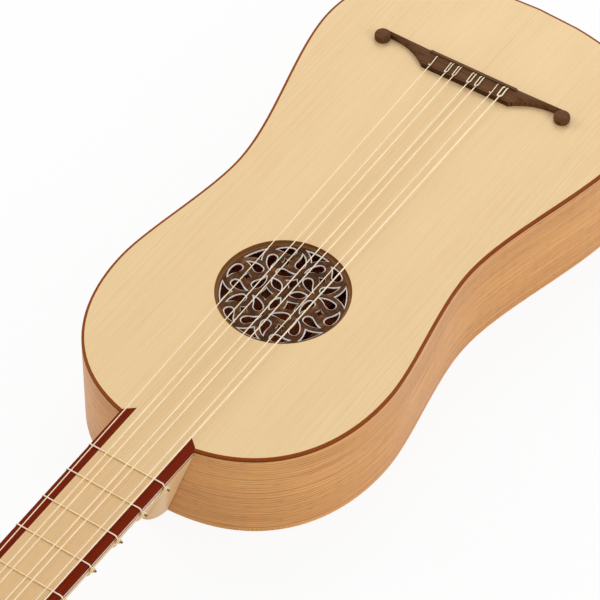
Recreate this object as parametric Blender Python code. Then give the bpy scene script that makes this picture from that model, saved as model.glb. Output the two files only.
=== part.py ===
"""Four-course renaissance guitar, built piece by piece as on the bench.

The guitar lies on its back. The neck points to -Y, the bass side is +X and the soundboard faces up.
Ribs, blocks, linings and back stand square on the table plane. The soundboard, the neck, the head and
the strings are drawn flat in the plane of the soundboard, and an empty tilts that plane, so the body
is shallower at the neck than at the tail.
"""
import math

import bmesh
import bpy
from mathutils import Matrix, Vector

# Fits
GAP = 0.0003
SEAM = GAP / 2

# Body outline, on the outer face of the ribs, with the bridge line at y = 0
TAIL_Y = 0.0857
LOWER_BOUT = (0.1049, 0.0108)
WAIST = (0.0793, -0.1242)
UPPER_BOUT = (0.0913, -0.2206)
NECK_JOIN_Y = -0.3148
TAIL_CURVE_LENGTH = 0.0672
LOWER_BOUT_CURVE_LENGTH = (0.0503, 0.0376)
WAIST_CURVE_LENGTH = (0.0403, 0.0302)
UPPER_BOUT_CURVE_LENGTH = (0.0256, 0.0499)
SHOULDER_CURVE_LENGTH = 0.0644
SIDE_STEPS = (11, 9, 8, 14)

# Body depth and wood thicknesses
DEPTH_AT_TAIL = 0.068
DEPTH_AT_NECK = 0.062
BOARD = 0.002
BACK = 0.0025
RIB = 0.0018
BINDING_WIDTH = 0.002
BINDING_HEIGHT = 0.0022
LINING_WIDTH = 0.005
LINING_HEIGHT = 0.008
LINING_END_SPACE = 0.003
LINING_ROOM = 0.0008
BACK_STRIP_WIDTH = 0.003

# Blocks and bars inside the body
TAIL_BLOCK_WIDTH = 0.050
TAIL_BLOCK_LENGTH = 0.012
NECK_BLOCK_WIDTH = 0.054
NECK_BLOCK_LENGTH = 0.022
BAR_WIDTH = 0.006
BAR_HEIGHT = 0.013
BAR_TIP_HEIGHT = 0.004
BAR_TIP_LENGTH = 0.022
BACK_BAR_WIDTH = 0.008
BACK_BAR_HEIGHT = 0.011
LOWER_BAR_Y = -0.070
ROSE_BAR_REACH = 0.052
BACK_BAR_Y = (0.020, -0.110, -0.235)
CLEAT_WIDTH = 0.005
CLEAT_HEIGHT = 0.004
CLEAT_LENGTH = 0.076

# Rose
ROSE_Y = -0.1918
ROSE_HOLE_RADIUS = 0.0386
ROSE_FLANGE = 0.0040
TRACERY_THICKNESS = 0.0012
PARCHMENT_THICKNESS = 0.0004
PARCHMENT_LEDGE = 0.0006
ROSE_OPENING_RADIUS = 0.0360
CIRCLE_COUNT = 6
CIRCLE_CENTRE = 0.0245
CIRCLE_RADIUS = 0.0138
COMMAS_PER_CIRCLE = 4
COMMA_RIM_RADIUS = 0.0116
COMMA_HEAD_RADIUS = 0.0033
COMMA_HEAD_ANGLE = math.radians(-107)
COMMA_TIP_ANGLE = math.radians(-47)
COMMA_BEND = ((0.0008, -0.0052), (0.0022, -0.0082))
STAR_TIP = 0.0040
STAR_WAIST = 0.0018
STAR_TURN = math.radians(20)
LENS_START = 0.0020
LENS_END = 0.0146
LENS_HALF_WIDTH = 0.0031
DIAMOND_CENTRE = 0.0097
DIAMOND_TIPS = (0.0050, 0.0057)
DIAMOND_WAIST = 0.0030

# Neck, fingerboard and nut
SCALE = 0.540
NUT_THICKNESS = 0.005
NUT_RISE = 0.0010
FRET_COUNT = 8
BOARD_END_FRET = 8
FINGERBOARD_HALF_WIDTH = 0.0241
FINGERBOARD_TAPER = 0.0080
STRIP_WIDTH = 0.0063
STRIP_CORNER_Y = -0.3110
STRIP_TIP_Y = -0.3055
NECK_DEPTH_AT_NUT = 0.0160
NECK_DEPTH_AT_HEEL = 0.0180
NECK_CHEEK = 0.0025
HEEL_FRONT_Y = -0.3290
HEEL_DEPTH = 0.0600
HEEL_SWEEP = 0.0105
HEEL_SPREAD = 0.0110
HEEL_HALF_WIDTH = 0.0080
HEEL_RIDGE = 0.0004

# Tied frets
FRET_RADIUS = 0.0004
FRET_KNOT_SPREAD = 0.0008
FRET_TAIL = 0.0030

# Bridge: it stands a little to the treble side of the centre line
BRIDGE_X = -0.0024
BRIDGE_FRONT_Y = 0.0024
BRIDGE_REAR_Y = 0.0136
BRIDGE_SLANT = 0.011
BRIDGE_BLOCK_HALF = 0.0300
BRIDGE_ARM_FRONT_Y = 0.0129
BRIDGE_ARM_BOW = 0.0011
BRIDGE_ARM_HOLLOW = 2.8
BRIDGE_FRONT_HEIGHT = 0.0035
BRIDGE_REAR_HEIGHT = 0.0049
BRIDGE_ARM_HEIGHT = 0.0044
BRIDGE_ARM_FRONT_HEIGHT = 0.0030
RIDGE_WIDTH = 0.0023
RIDGE_RISE = 0.0010
RIDGE_STEP = 0.0003
EDGE_ROUNDING = 0.0004
KNOB_REACH = 0.0623
KNOB_Y = 0.0102
KNOB_RADIUS = 0.0050
KNOB_HEIGHT = 0.0052
TIE_HOLE_HEIGHT = 0.0039
TIE_HOLE_FALL = 0.20
RETURN_HOLE_BEFORE_RIDGE = 0.0002
RETURN_HOLE_FALL = 0.45
TIE_HOLE_CLEARANCE = 0.0004

# Strings from the treble side to the bass side, and the width of each one's tie on the bridge
STRING_RADII = (0.00028, 0.00030, 0.00030, 0.00034, 0.00034, 0.00028, 0.00042)
SPREAD_AT_BRIDGE = 0.0478
SPREAD_AT_NUT = 0.0357
MIDDLE_AT_BRIDGE = -0.0030
MIDDLE_AT_NUT = 0.0004
PLACES_AT_BRIDGE = (0.0, 0.227, 0.340, 0.553, 0.666, 0.884, 1.0)
PLACES_AT_NUT = (0.0, 0.226, 0.322, 0.566, 0.664, 0.905, 1.0)
LOOP_HALF_WIDTHS = (0.0, 0.00080, 0.00080, 0.00100, 0.00100, 0.0, 0.00125)
SHORT_TIE_LENGTH = 0.0009

# Pegbox
HEAD_RADIUS = 0.260
HEAD_LENGTH = 0.115
HEAD_DROP = 0.0025
HEAD_HALF_WIDTH_END = 0.0130
HEAD_DEPTH_START = 0.0185
HEAD_DEPTH_MIDDLE = 0.0255
HEAD_DEPTH_END = 0.0180
CHEEK = 0.0045
HEAD_FLOOR = 0.0035
HEAD_WALL_AT_NUT = 0.0025
HEAD_WALL_AT_END = 0.0080
FINIAL_LENGTH = 0.0160
FINIAL_NECK = 0.0085
FINIAL_FLARE = 0.0125

# Pegs
FIRST_PEG = 0.0220
LAST_PEG_FROM_END = 0.0168
PEG_DEPTH = 0.0120
LAST_PEG_DEPTH = 0.0100
PEG_RADIUS = 0.0035
PEG_TAPER = 1 / 60
PEG_TIP_STAND = 0.0012
PEG_NECK = 0.0035
PEG_COLLAR_RADIUS = 0.0052
PEG_HEAD_LENGTH = 0.0175
PEG_HEAD_HALF_WIDTH = 0.0100
PEG_HEAD_HALF_THICKNESS = 0.0034
PEG_HEAD_STEP = 0.9
PEG_SIDES = 10
STRING_HOLE_CLEARANCE = 0.0004
WINDING_TURNS = 2
WINDING_GAP = 0.00045
STRING_STANDOFF = 0.0030
TURN_POINTS = 24

# Which string each peg takes, from the nut outwards, and how far its winding lies from the centre line
PEG_STRINGS = (7, 1, 6, 2, 5, 3, 4)
WINDING_X = (0.0128, -0.0120, 0.0080, -0.0066, 0.0040, -0.0034, 0.0005)

# Colours
SPRUCE = (0.84, 0.68, 0.45)
CHERRY = (0.62, 0.36, 0.18)
MAPLE = (0.80, 0.62, 0.40)
ROSEWOOD = (0.13, 0.025, 0.010)
WALNUT = (0.10, 0.040, 0.018)
LINDEN = (0.74, 0.60, 0.42)
PARCHMENT = (0.86, 0.82, 0.74)
GUT = (0.86, 0.74, 0.50)
NYLON = (0.90, 0.86, 0.74)
BONE = (0.86, 0.82, 0.70)

SLOPE = (DEPTH_AT_TAIL - DEPTH_AT_NECK) / (TAIL_Y - NECK_JOIN_Y)
TILT = math.atan(SLOPE)
TOP_AT_BRIDGE = DEPTH_AT_TAIL - TAIL_Y * SLOPE
NECK_TOP = -(BOARD + GAP)
NUT_Y = -SCALE
HEAD_Y = NUT_Y - NUT_THICKNESS - GAP
PEG_SPACING = (HEAD_LENGTH - LAST_PEG_FROM_END - FIRST_PEG) / (len(PEG_STRINGS) - 1)


def clear_scene():
    for item in list(bpy.data.objects):
        bpy.data.objects.remove(item, do_unlink=True)


def top_at(y):
    """Height of the soundboard's face over the table."""
    return TOP_AT_BRIDGE + y * SLOPE


def constant(value):
    return lambda y: value


def below_top(drop):
    return lambda y: top_at(y) - drop


def finish_mesh(name, bm):
    bmesh.ops.remove_doubles(bm, verts=bm.verts, dist=0.000001)
    bmesh.ops.recalc_face_normals(bm, faces=bm.faces)
    mesh = bpy.data.meshes.new(name)
    bm.to_mesh(mesh)
    bm.free()
    return mesh


def place(name, mesh, colour, roughness, parent, smooth_angle=None):
    """Makes the named piece from its mesh, with a material of its own."""
    item = bpy.data.objects.new(name, mesh)
    bpy.context.scene.collection.objects.link(item)
    item.parent = parent
    coat = bpy.data.materials.new(name + "_finish")
    coat.use_nodes = True
    shader = coat.node_tree.nodes["Principled BSDF"]
    shader.inputs["Base Color"].default_value = (*colour, 1)
    shader.inputs["Roughness"].default_value = roughness
    mesh.materials.append(coat)
    if smooth_angle is not None:
        mesh.shade_smooth()
        mesh.set_sharp_from_angle(angle=math.radians(smooth_angle))
    return item


def cut(item, cutter, operation="DIFFERENCE", frame=None):
    """Adds a Boolean to a piece and keeps the cutter out of the build."""
    cutter.hide_render = True
    cutter.display_type = "WIRE"
    cutter.parent = frame or item.parent
    step = item.modifiers.new(operation.title(), "BOOLEAN")
    step.operation = operation
    step.solver = "EXACT"
    step.object = cutter


def cutter_object(name, bm):
    item = bpy.data.objects.new(name, finish_mesh(name, bm))
    bpy.context.scene.collection.objects.link(item)
    return item


def loft(bm, rings):
    """Skins closed rings of equal count and closes both ends."""
    loops = [[bm.verts.new(point) for point in ring] for ring in rings]
    for near, far in zip(loops, loops[1:]):
        for i in range(len(near)):
            j = (i + 1) % len(near)
            bm.faces.new((near[i], near[j], far[j], far[i]))
    bm.faces.new(loops[0])
    bm.faces.new(list(reversed(loops[-1])))


def slab(outline, low, high):
    """Upright solid over a plan outline, between two heights that may follow y."""
    bm = bmesh.new()
    bottom = [Vector((x, y, low(y))) for x, y in outline]
    top = [Vector((x, y, high(y))) for x, y in outline]
    loft(bm, [bottom, top])
    return bm


def bezier(start, first, second, end, steps):
    points = []
    for i in range(steps):
        t = i / steps
        u = 1 - t
        a, b, c, d = u ** 3, 3 * u * u * t, 3 * u * t * t, t ** 3
        place_on = start * a + first * b + second * c + end * d
        along = (first - start) * u * u + (second - first) * 2 * u * t + (end - second) * t * t
        along.normalize()
        points.append((place_on, Vector((-along.y, along.x))))
    return points


def trace_side():
    """Half outline from the tail to the neck: points on the rib's outer face, with outward normals."""
    tail = Vector((0, TAIL_Y))
    lower = Vector(LOWER_BOUT)
    waist = Vector(WAIST)
    upper = Vector(UPPER_BOUT)
    neck = Vector((0, NECK_JOIN_Y))
    ahead = Vector((0, -1))
    out = Vector((1, 0))
    spans = (
        (tail, tail + out * TAIL_CURVE_LENGTH, lower - ahead * LOWER_BOUT_CURVE_LENGTH[0], lower),
        (lower, lower + ahead * LOWER_BOUT_CURVE_LENGTH[1], waist - ahead * WAIST_CURVE_LENGTH[0], waist),
        (waist, waist + ahead * WAIST_CURVE_LENGTH[1], upper - ahead * UPPER_BOUT_CURVE_LENGTH[0], upper),
        (upper, upper + ahead * UPPER_BOUT_CURVE_LENGTH[1], neck + out * SHOULDER_CURVE_LENGTH, neck),
    )
    side = []
    for span, steps in zip(spans, SIDE_STEPS):
        side += bezier(*span, steps)
    side.append((neck, Vector((0, -1))))
    return side


SIDE = trace_side()


def side_between(x_tail, x_neck, side=SIDE):
    """The half outline cut off at a distance from the centre line at each end."""
    kept = []
    for (a, na), (b, nb) in zip(side, side[1:]):
        for limit in (x_tail if b.x > a.x else x_neck,):
            if min(a.x, b.x) < limit <= max(a.x, b.x):
                t = (limit - a.x) / (b.x - a.x)
                kept.append((a.lerp(b, t), na.lerp(nb, t).normalized()))
        widest = UPPER_BOUT[1] if b.x < a.x else TAIL_Y
        limit = x_neck if b.y < widest else x_tail
        if b.x > limit:
            kept.append((b, nb))
    return kept


def half_width(y, inset):
    """Distance from the centre line to an inset of the outline, at one y."""
    line = [point - normal * inset for point, normal in SIDE]
    for a, b in zip(line, line[1:]):
        if min(a.y, b.y) <= y <= max(a.y, b.y) and a.y != b.y:
            return a.x + (b.x - a.x) * (y - a.y) / (b.y - a.y)
    raise ValueError("y lies outside the body")


def wall(sign, x_tail, x_neck, outer, inner, low, high, side=SIDE):
    """Band that follows one side of the outline between two insets."""
    rings = []
    for point, normal in side_between(x_tail, x_neck, side):
        a = point - normal * outer
        b = point - normal * inner
        rings.append([
            Vector((sign * a.x, a.y, low(a.y))),
            Vector((sign * a.x, a.y, high(a.y))),
            Vector((sign * b.x, b.y, high(b.y))),
            Vector((sign * b.x, b.y, low(b.y))),
        ])
    bm = bmesh.new()
    loft(bm, rings)
    return bm


def both_sides(stem, colour, roughness, parent, *shape):
    for side, sign in (("bass", 1), ("treble", -1)):
        mesh = finish_mesh(f"{stem}_{side}", wall(sign, *shape))
        place(f"{stem}_{side}", mesh, colour, roughness, parent, 30)


def plate(name, loops, top, thickness):
    """Flat plate with openings, from closed loops: the first is its edge, the rest are cut out."""
    curve = bpy.data.curves.new(name + "_outline", "CURVE")
    curve.dimensions = "2D"
    curve.fill_mode = "BOTH"
    curve.extrude = thickness / 2
    for loop in loops:
        spline = curve.splines.new("POLY")
        spline.points.add(len(loop) - 1)
        for point, (x, y) in zip(spline.points, loop):
            point.co = (x, y, 0, 1)
        spline.use_cyclic_u = True
    guide = bpy.data.objects.new(name + "_guide", curve)
    bpy.context.scene.collection.objects.link(guide)
    drawn = guide.evaluated_get(bpy.context.evaluated_depsgraph_get())
    bm = bmesh.new()
    bm.from_mesh(bpy.data.meshes.new_from_object(drawn))
    bmesh.ops.translate(bm, verts=bm.verts, vec=(0, 0, top - thickness / 2))
    bpy.data.objects.remove(guide)
    return finish_mesh(name, bm)


def ribs(body):
    both_sides("rib", CHERRY, 0.4, body, SEAM, SEAM, 0, RIB, constant(BACK + GAP),
               below_top(BINDING_HEIGHT + GAP))


def bindings(face):
    end = fingerboard_half(STRIP_CORNER_Y) + GAP
    both_sides("binding", ROSEWOOD, 0.35, face, SEAM, end, 0, BINDING_WIDTH,
               constant(-BINDING_HEIGHT), constant(0))


def linings(body):
    """Kerfed strips that widen the glue joint between ribs and plates, bent in fewer, longer flats."""
    flats = SIDE[::2]
    outer = RIB + GAP + LINING_ROOM
    inner = outer + LINING_WIDTH
    ends = (TAIL_BLOCK_WIDTH / 2 + LINING_END_SPACE, NECK_BLOCK_WIDTH / 2 + LINING_END_SPACE)
    top = BOARD + GAP
    both_sides("top_lining", LINDEN, 0.6, body, *ends, outer, inner,
               below_top(top + LINING_HEIGHT), below_top(top), flats)
    floor = BACK + GAP
    both_sides("back_lining", LINDEN, 0.6, body, *ends, outer, inner,
               constant(floor), constant(floor + LINING_HEIGHT), flats)


def end_block(name, half, edge_y, at_tail, body):
    """Block glued between the ribs, curved like them outside and flat inside."""
    inset = RIB + GAP
    end_y = TAIL_Y if at_tail else NECK_JOIN_Y
    arc = []
    for point, normal in SIDE:
        p = point - normal * inset
        if abs(p.y - end_y) < abs(edge_y - end_y) and p.x < half:
            arc.append((p.x, p.y))
    corner_y = [point.y - normal.y * inset for point, normal in side_between(half, half)]
    corner = (half, corner_y[0] if at_tail else corner_y[-1])
    arc = arc + [corner] if at_tail else [corner] + arc
    right = arc if at_tail else arc[::-1]
    right = [p for p in right if p[0] > SEAM]
    crown = (0, end_y - math.copysign(inset, end_y))
    outline = [(-x, y) for x, y in reversed(right)] + [crown] + right + [(half, edge_y), (-half, edge_y)]
    mesh = finish_mesh(name, slab(outline, constant(BACK + GAP), below_top(BOARD + GAP)))
    place(name, mesh, LINDEN, 0.7, body)


def blocks(body):
    tail_edge = TAIL_Y - RIB - GAP - TAIL_BLOCK_LENGTH
    end_block("tail_block", TAIL_BLOCK_WIDTH / 2, tail_edge, True, body)
    neck_edge = NECK_JOIN_Y + RIB + GAP + NECK_BLOCK_LENGTH
    end_block("neck_block", NECK_BLOCK_WIDTH / 2, neck_edge, False, body)


def back_plates(body):
    edge = BACK_STRIP_WIDTH / 2 + GAP
    for side, sign in (("bass", 1), ("treble", -1)):
        line = [(sign * point.x, point.y) for point, normal in side_between(edge, edge)]
        name = f"back_{side}_half"
        mesh = finish_mesh(name, slab(line, constant(0), constant(BACK)))
        place(name, mesh, CHERRY, 0.4, body, 30)
    half = BACK_STRIP_WIDTH / 2
    strip = [(-half, NECK_JOIN_Y), (half, NECK_JOIN_Y), (half, TAIL_Y), (-half, TAIL_Y)]
    mesh = finish_mesh("back_centre_strip", slab(strip, constant(0), constant(BACK)))
    place("back_centre_strip", mesh, ROSEWOOD, 0.35, body)


def cross_bar(name, y, width, height, base, upward, parent):
    """Bar across the body, cut down to thin tips between the linings."""
    inset = RIB + LINING_ROOM + LINING_WIDTH + 2 * GAP
    edges = (y - width / 2, y + width / 2)
    half = min(half_width(edge, inset) for edge in edges) - GAP
    way = 1 if upward else -1
    profile = [(-half, 0), (half, 0), (half, BAR_TIP_HEIGHT), (half - BAR_TIP_LENGTH, height),
               (BAR_TIP_LENGTH - half, height), (-half, BAR_TIP_HEIGHT)]
    bm = bmesh.new()
    rings = [[Vector((x, edge, base + way * z)) for x, z in profile] for edge in edges]
    loft(bm, rings)
    place(name, finish_mesh(name, bm), LINDEN, 0.7, parent)


def bars(body, face):
    under = -(BOARD + GAP)
    above = (("waist_bar", ROSE_Y + ROSE_BAR_REACH), ("shoulder_bar", ROSE_Y - ROSE_BAR_REACH),
             ("lower_bar", LOWER_BAR_Y))
    for name, y in above:
        cross_bar(name, y, BAR_WIDTH, BAR_HEIGHT, under, False, face)
    for number, y in enumerate(BACK_BAR_Y, 1):
        cross_bar(f"back_bar_{number}", y, BACK_BAR_WIDTH, BACK_BAR_HEIGHT, BACK + GAP, True, body)
    centre = ROSE_HOLE_RADIUS + ROSE_FLANGE + GAP + CLEAT_WIDTH / 2
    for side, sign in (("bass", 1), ("treble", -1)):
        x = sign * centre
        plan = [(x - CLEAT_WIDTH / 2, ROSE_Y - CLEAT_LENGTH / 2), (x + CLEAT_WIDTH / 2, ROSE_Y - CLEAT_LENGTH / 2),
                (x + CLEAT_WIDTH / 2, ROSE_Y + CLEAT_LENGTH / 2), (x - CLEAT_WIDTH / 2, ROSE_Y + CLEAT_LENGTH / 2)]
        name = f"rose_cleat_{side}"
        mesh = finish_mesh(name, slab(plan, constant(under - CLEAT_HEIGHT), constant(under)))
        place(name, mesh, LINDEN, 0.7, face)


def fingerboard_half(y):
    """Half width of the neck and fingerboard."""
    board_end = -SCALE * 2 ** (-BOARD_END_FRET / 12)
    return FINGERBOARD_HALF_WIDTH + FINGERBOARD_TAPER * (y - board_end)


def fret_y(number):
    return -SCALE * 2 ** (-number / 12)


def circle(radius, count):
    turns = [2 * math.pi * i / count for i in range(count)]
    return [(radius * math.cos(a), radius * math.sin(a)) for a in turns]


def soundboard(face):
    edge = BINDING_WIDTH + GAP
    corner = fingerboard_half(STRIP_CORNER_Y)
    right = []
    for point, normal in side_between(SEAM, corner + GAP):
        p = point - normal * edge
        right.append((p.x, p.y))
    mitre = (corner + GAP, right[-1][1])
    tip = (fingerboard_half(STRIP_TIP_Y) - STRIP_WIDTH - GAP, STRIP_TIP_Y + 2 * GAP)
    end_y = fret_y(BOARD_END_FRET) + SEAM
    tongue = (fingerboard_half(end_y) - STRIP_WIDTH - GAP, end_y)
    right = [p for p in right if p[1] > mitre[1]] + [mitre, tip, tongue]
    left = [(-x, y) for x, y in reversed(right)]
    hole = [(x, y + ROSE_Y) for x, y in circle(ROSE_HOLE_RADIUS, 56)]
    mesh = plate("soundboard", [right + left, hole], 0, BOARD)
    place("soundboard", mesh, SPRUCE, 0.45, face)


def polar(reach, angle):
    return Vector((math.cos(angle), math.sin(angle))) * reach


def comma(margin):
    """Comma opening: a round head, an outer edge along the circle and an inner edge drawn out in an S."""
    rim = COMMA_RIM_RADIUS - margin
    head = polar(COMMA_RIM_RADIUS - COMMA_HEAD_RADIUS, COMMA_HEAD_ANGLE)
    radius = COMMA_HEAD_RADIUS - margin
    tip_angle = COMMA_TIP_ANGLE - 2.5 * margin / rim
    tip = polar(rim, tip_angle)
    points = []
    for step in range(4):
        points.append(polar(rim, tip_angle + (COMMA_HEAD_ANGLE - tip_angle) * step / 4))
    for step in range(5):
        points.append(head + polar(radius, COMMA_HEAD_ANGLE - math.pi * step / 4))
    inmost = points[-1]
    first, second = [Vector(handle) * (1 + margin / Vector(handle).length) for handle in COMMA_BEND]
    return points + [point for point, normal in bezier(inmost, first, second, tip, 4)[1:]]


def four_point(tips, waist, margin):
    """Curved diamond: long points along and across, drawn in between them."""
    points = []
    for quarter in range(4):
        reach = tips[quarter % 2] - margin * 2
        angle = math.pi / 2 * quarter
        points.append(polar(reach, angle))
        points.append(polar(waist - margin / 2, angle + math.pi / 4))
    return points


def lens(margin):
    start = LENS_START + margin * 2
    end = LENS_END - margin * 2
    width = LENS_HALF_WIDTH - margin
    upper = []
    for t in (0.2, 0.5, 0.8):
        upper.append(Vector((start + (end - start) * t, width * 4 * t * (1 - t))))
    lower = [Vector((p.x, -p.y)) for p in reversed(upper)]
    return [Vector((start, 0))] + upper + [Vector((end, 0))] + lower


def rim_triangle(margin):
    """Opening between the rim and two neighbouring circles."""
    rim = ROSE_OPENING_RADIUS - margin
    radius = CIRCLE_RADIUS + margin
    half_turn = math.pi / CIRCLE_COUNT
    centre = polar(CIRCLE_CENTRE, half_turn)
    reach = (rim ** 2 + CIRCLE_CENTRE ** 2 - radius ** 2) / (2 * rim * CIRCLE_CENTRE)
    spread = half_turn - math.acos(reach)
    outer = polar(rim, spread)
    inner = Vector((centre.x + math.sqrt(radius ** 2 - centre.y ** 2), 0))
    first = math.atan2(inner.y - centre.y, inner.x - centre.x)
    last = math.atan2(outer.y - centre.y, outer.x - centre.x)
    flank = []
    for t in (0.33, 0.67):
        angle = first + (last - first) * t
        flank.append(centre + polar(radius, angle))
    arc = [polar(rim, a) for a in (spread / 2, 0, -spread / 2)]
    mirrored = [Vector((p.x, -p.y)) for p in flank]
    return [inner] + flank + [outer] + arc + [Vector((outer.x, -outer.y))] + mirrored[::-1]


def rose_openings(margin):
    """The whole tracery: six circles of four commas round a star, three lenses, three diamonds and a rim."""
    def turned(points, angle, shift=0.0):
        spin = Matrix.Rotation(angle, 2)
        return [spin @ (p + Vector((shift, 0))) for p in points]

    loops = []
    for number in range(CIRCLE_COUNT):
        angle = 2 * math.pi * number / CIRCLE_COUNT
        between = angle + math.pi / CIRCLE_COUNT
        for quarter in range(COMMAS_PER_CIRCLE):
            opening = turned(comma(margin), 2 * math.pi * quarter / COMMAS_PER_CIRCLE)
            loops.append(turned(opening, angle, CIRCLE_CENTRE))
        star = turned(four_point((STAR_TIP, STAR_TIP), STAR_WAIST, margin / 2), STAR_TURN)
        loops.append(turned(star, angle, CIRCLE_CENTRE))
        loops.append(turned(rim_triangle(margin), between))
        if number % 2 == 0:
            loops.append(turned(lens(margin), between))
        else:
            loops.append(turned(four_point(DIAMOND_TIPS, DIAMOND_WAIST, margin), between, DIAMOND_CENTRE))
    return [[(p.x, p.y + ROSE_Y) for p in loop] for loop in loops]


def rose(face):
    rim = [(x, y + ROSE_Y) for x, y in circle(ROSE_HOLE_RADIUS + ROSE_FLANGE, 36)]
    top = -(BOARD + GAP)
    mesh = plate("rose_tracery", [rim] + rose_openings(0), top, TRACERY_THICKNESS)
    place("rose_tracery", mesh, WALNUT, 0.5, face)
    under = top - TRACERY_THICKNESS - GAP
    mesh = plate("rose_parchment", [rim] + rose_openings(PARCHMENT_LEDGE), under, PARCHMENT_THICKNESS)
    place("rose_parchment", mesh, PARCHMENT, 0.8, face)


def neck_section(y):
    """Cross-section of the neck: half round along the shaft, wedge shaped at the heel."""
    half = fingerboard_half(y)
    start = NUT_Y - NUT_THICKNESS
    along = (y - start) / (HEEL_FRONT_Y - start)
    shaft_depth = NECK_DEPTH_AT_NUT + (NECK_DEPTH_AT_HEEL - NECK_DEPTH_AT_NUT) * min(along, 1)
    ahead = max(0.0, HEEL_FRONT_Y - y)
    depth = shaft_depth + (HEEL_DEPTH - shaft_depth) * math.exp(-ahead / HEEL_SWEEP)
    wedge = math.exp(-ahead / HEEL_SPREAD)
    behind = min(max(0.0, y - HEEL_FRONT_Y) / (NECK_JOIN_Y - HEEL_FRONT_Y), 1)
    foot = HEEL_HALF_WIDTH * math.sqrt(1 - (1 - behind) ** 2) if behind > 0 else 0
    foot = max(foot, HEEL_RIDGE)
    cheek = NECK_TOP - NECK_CHEEK
    right = [Vector((half, y, NECK_TOP))]
    for step in range(7):
        angle = math.pi / 2 * step / 6
        round_x = half * math.cos(angle)
        wedge_x = half + (foot - half) * math.sin(angle)
        x = max(round_x * (1 - wedge) + wedge_x * wedge, HEEL_RIDGE)
        right.append(Vector((x, y, cheek - (depth + cheek) * math.sin(angle))))
    left = [Vector((-p.x, p.y, p.z)) for p in reversed(right)]
    return right + left


def neck(face, body):
    start = NUT_Y - NUT_THICKNESS
    shaft = HEEL_FRONT_Y - start
    foot = NECK_JOIN_Y - HEEL_FRONT_Y
    stations = [start + shaft * share for share in (0, 0.28, 0.53)]
    sweeps = (5.7, 4.4, 3.4, 2.7, 2.1, 1.6, 1.25, 0.9, 0.62, 0.38, 0.19, 0)
    stations += [HEEL_FRONT_Y - HEEL_SWEEP * sweep for sweep in sweeps]
    stations += [HEEL_FRONT_Y + foot * share for share in (0.1, 0.3, 0.63, 1.4)]
    bm = bmesh.new()
    loft(bm, [neck_section(y) for y in stations])
    item = place("neck", finish_mesh("neck", bm), MAPLE, 0.4, face, 40)
    line = [(point.x + normal.x * GAP, point.y + normal.y * GAP)
            for point, normal in side_between(SEAM, SEAM) if point.y < UPPER_BOUT[1]]
    line = line + [(-x, y) for x, y in reversed(line)]
    body_space = slab(line, constant(-BACK), constant(DEPTH_AT_TAIL))
    cut(item, cutter_object("neck_seat_cutter", body_space), frame=body)


def fingerboard(face):
    near = NUT_Y + GAP
    far = fret_y(BOARD_END_FRET) - SEAM
    inner = STRIP_WIDTH + GAP
    panel = [(fingerboard_half(near) - inner, near), (fingerboard_half(far) - inner, far)]
    panel += [(-x, y) for x, y in reversed(panel)]
    mesh = finish_mesh("fingerboard_panel", slab(panel, constant(-BOARD), constant(0)))
    place("fingerboard_panel", mesh, MAPLE, 0.4, face)
    for side, sign in (("bass", 1), ("treble", -1)):
        strip = [
            (fingerboard_half(near), near),
            (fingerboard_half(STRIP_CORNER_Y), STRIP_CORNER_Y),
            (fingerboard_half(STRIP_TIP_Y) - STRIP_WIDTH, STRIP_TIP_Y),
            (fingerboard_half(near) - STRIP_WIDTH, near),
        ]
        name = f"fingerboard_edge_{side}"
        mesh = finish_mesh(name, slab([(sign * x, y) for x, y in strip], constant(-BOARD), constant(0)))
        place(name, mesh, ROSEWOOD, 0.3, face)


def nut(face):
    """Bone nut with a rounded crown, at the head end of the fingerboard."""
    half = fingerboard_half(NUT_Y - NUT_THICKNESS)
    low = NECK_TOP + GAP
    crown = NUT_THICKNESS * 0.3
    profile = [(NUT_Y, low), (NUT_Y, NUT_RISE - crown / 2), (NUT_Y - crown, NUT_RISE),
               (NUT_Y - NUT_THICKNESS + crown, NUT_RISE), (NUT_Y - NUT_THICKNESS, NUT_RISE - crown / 2),
               (NUT_Y - NUT_THICKNESS, low)]
    bm = bmesh.new()
    loft(bm, [[Vector((x, y, z)) for y, z in profile] for x in (-half, half)])
    place("nut", finish_mesh("nut", bm), BONE, 0.35, face, 50)


def tube(name, points, radius, resolution, colour, parent, location=(0, 0, 0)):
    """Cord as a curve with a round bevel and filled ends."""
    curve = bpy.data.curves.new(name, "CURVE")
    curve.dimensions = "3D"
    curve.bevel_depth = radius
    curve.bevel_resolution = resolution
    curve.use_fill_caps = True
    spline = curve.splines.new("POLY")
    spline.points.add(len(points) - 1)
    for point, co in zip(spline.points, points):
        point.co = (*co, 1)
    item = place_curve(name, curve, colour, parent)
    item.location = location
    return item


def place_curve(name, curve, colour, parent):
    item = bpy.data.objects.new(name, curve)
    bpy.context.scene.collection.objects.link(item)
    item.parent = parent
    coat = bpy.data.materials.new(name + "_finish")
    coat.use_nodes = True
    shader = coat.node_tree.nodes["Principled BSDF"]
    shader.inputs["Base Color"].default_value = (*colour, 1)
    shader.inputs["Roughness"].default_value = 0.35
    curve.materials.append(coat)
    return item


def least_gap(points, diameter):
    """Smallest free distance between stretches of one tube that aren't next to each other."""
    travelled = [0.0]
    for a, b in zip(points, points[1:]):
        travelled.append(travelled[-1] + (b - a).length)
    least = math.inf
    for i, a in enumerate(points):
        for j in range(i + 1, len(points)):
            if travelled[j] - travelled[i] > 4 * diameter:
                least = min(least, (a - points[j]).length - diameter)
    return least


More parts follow.
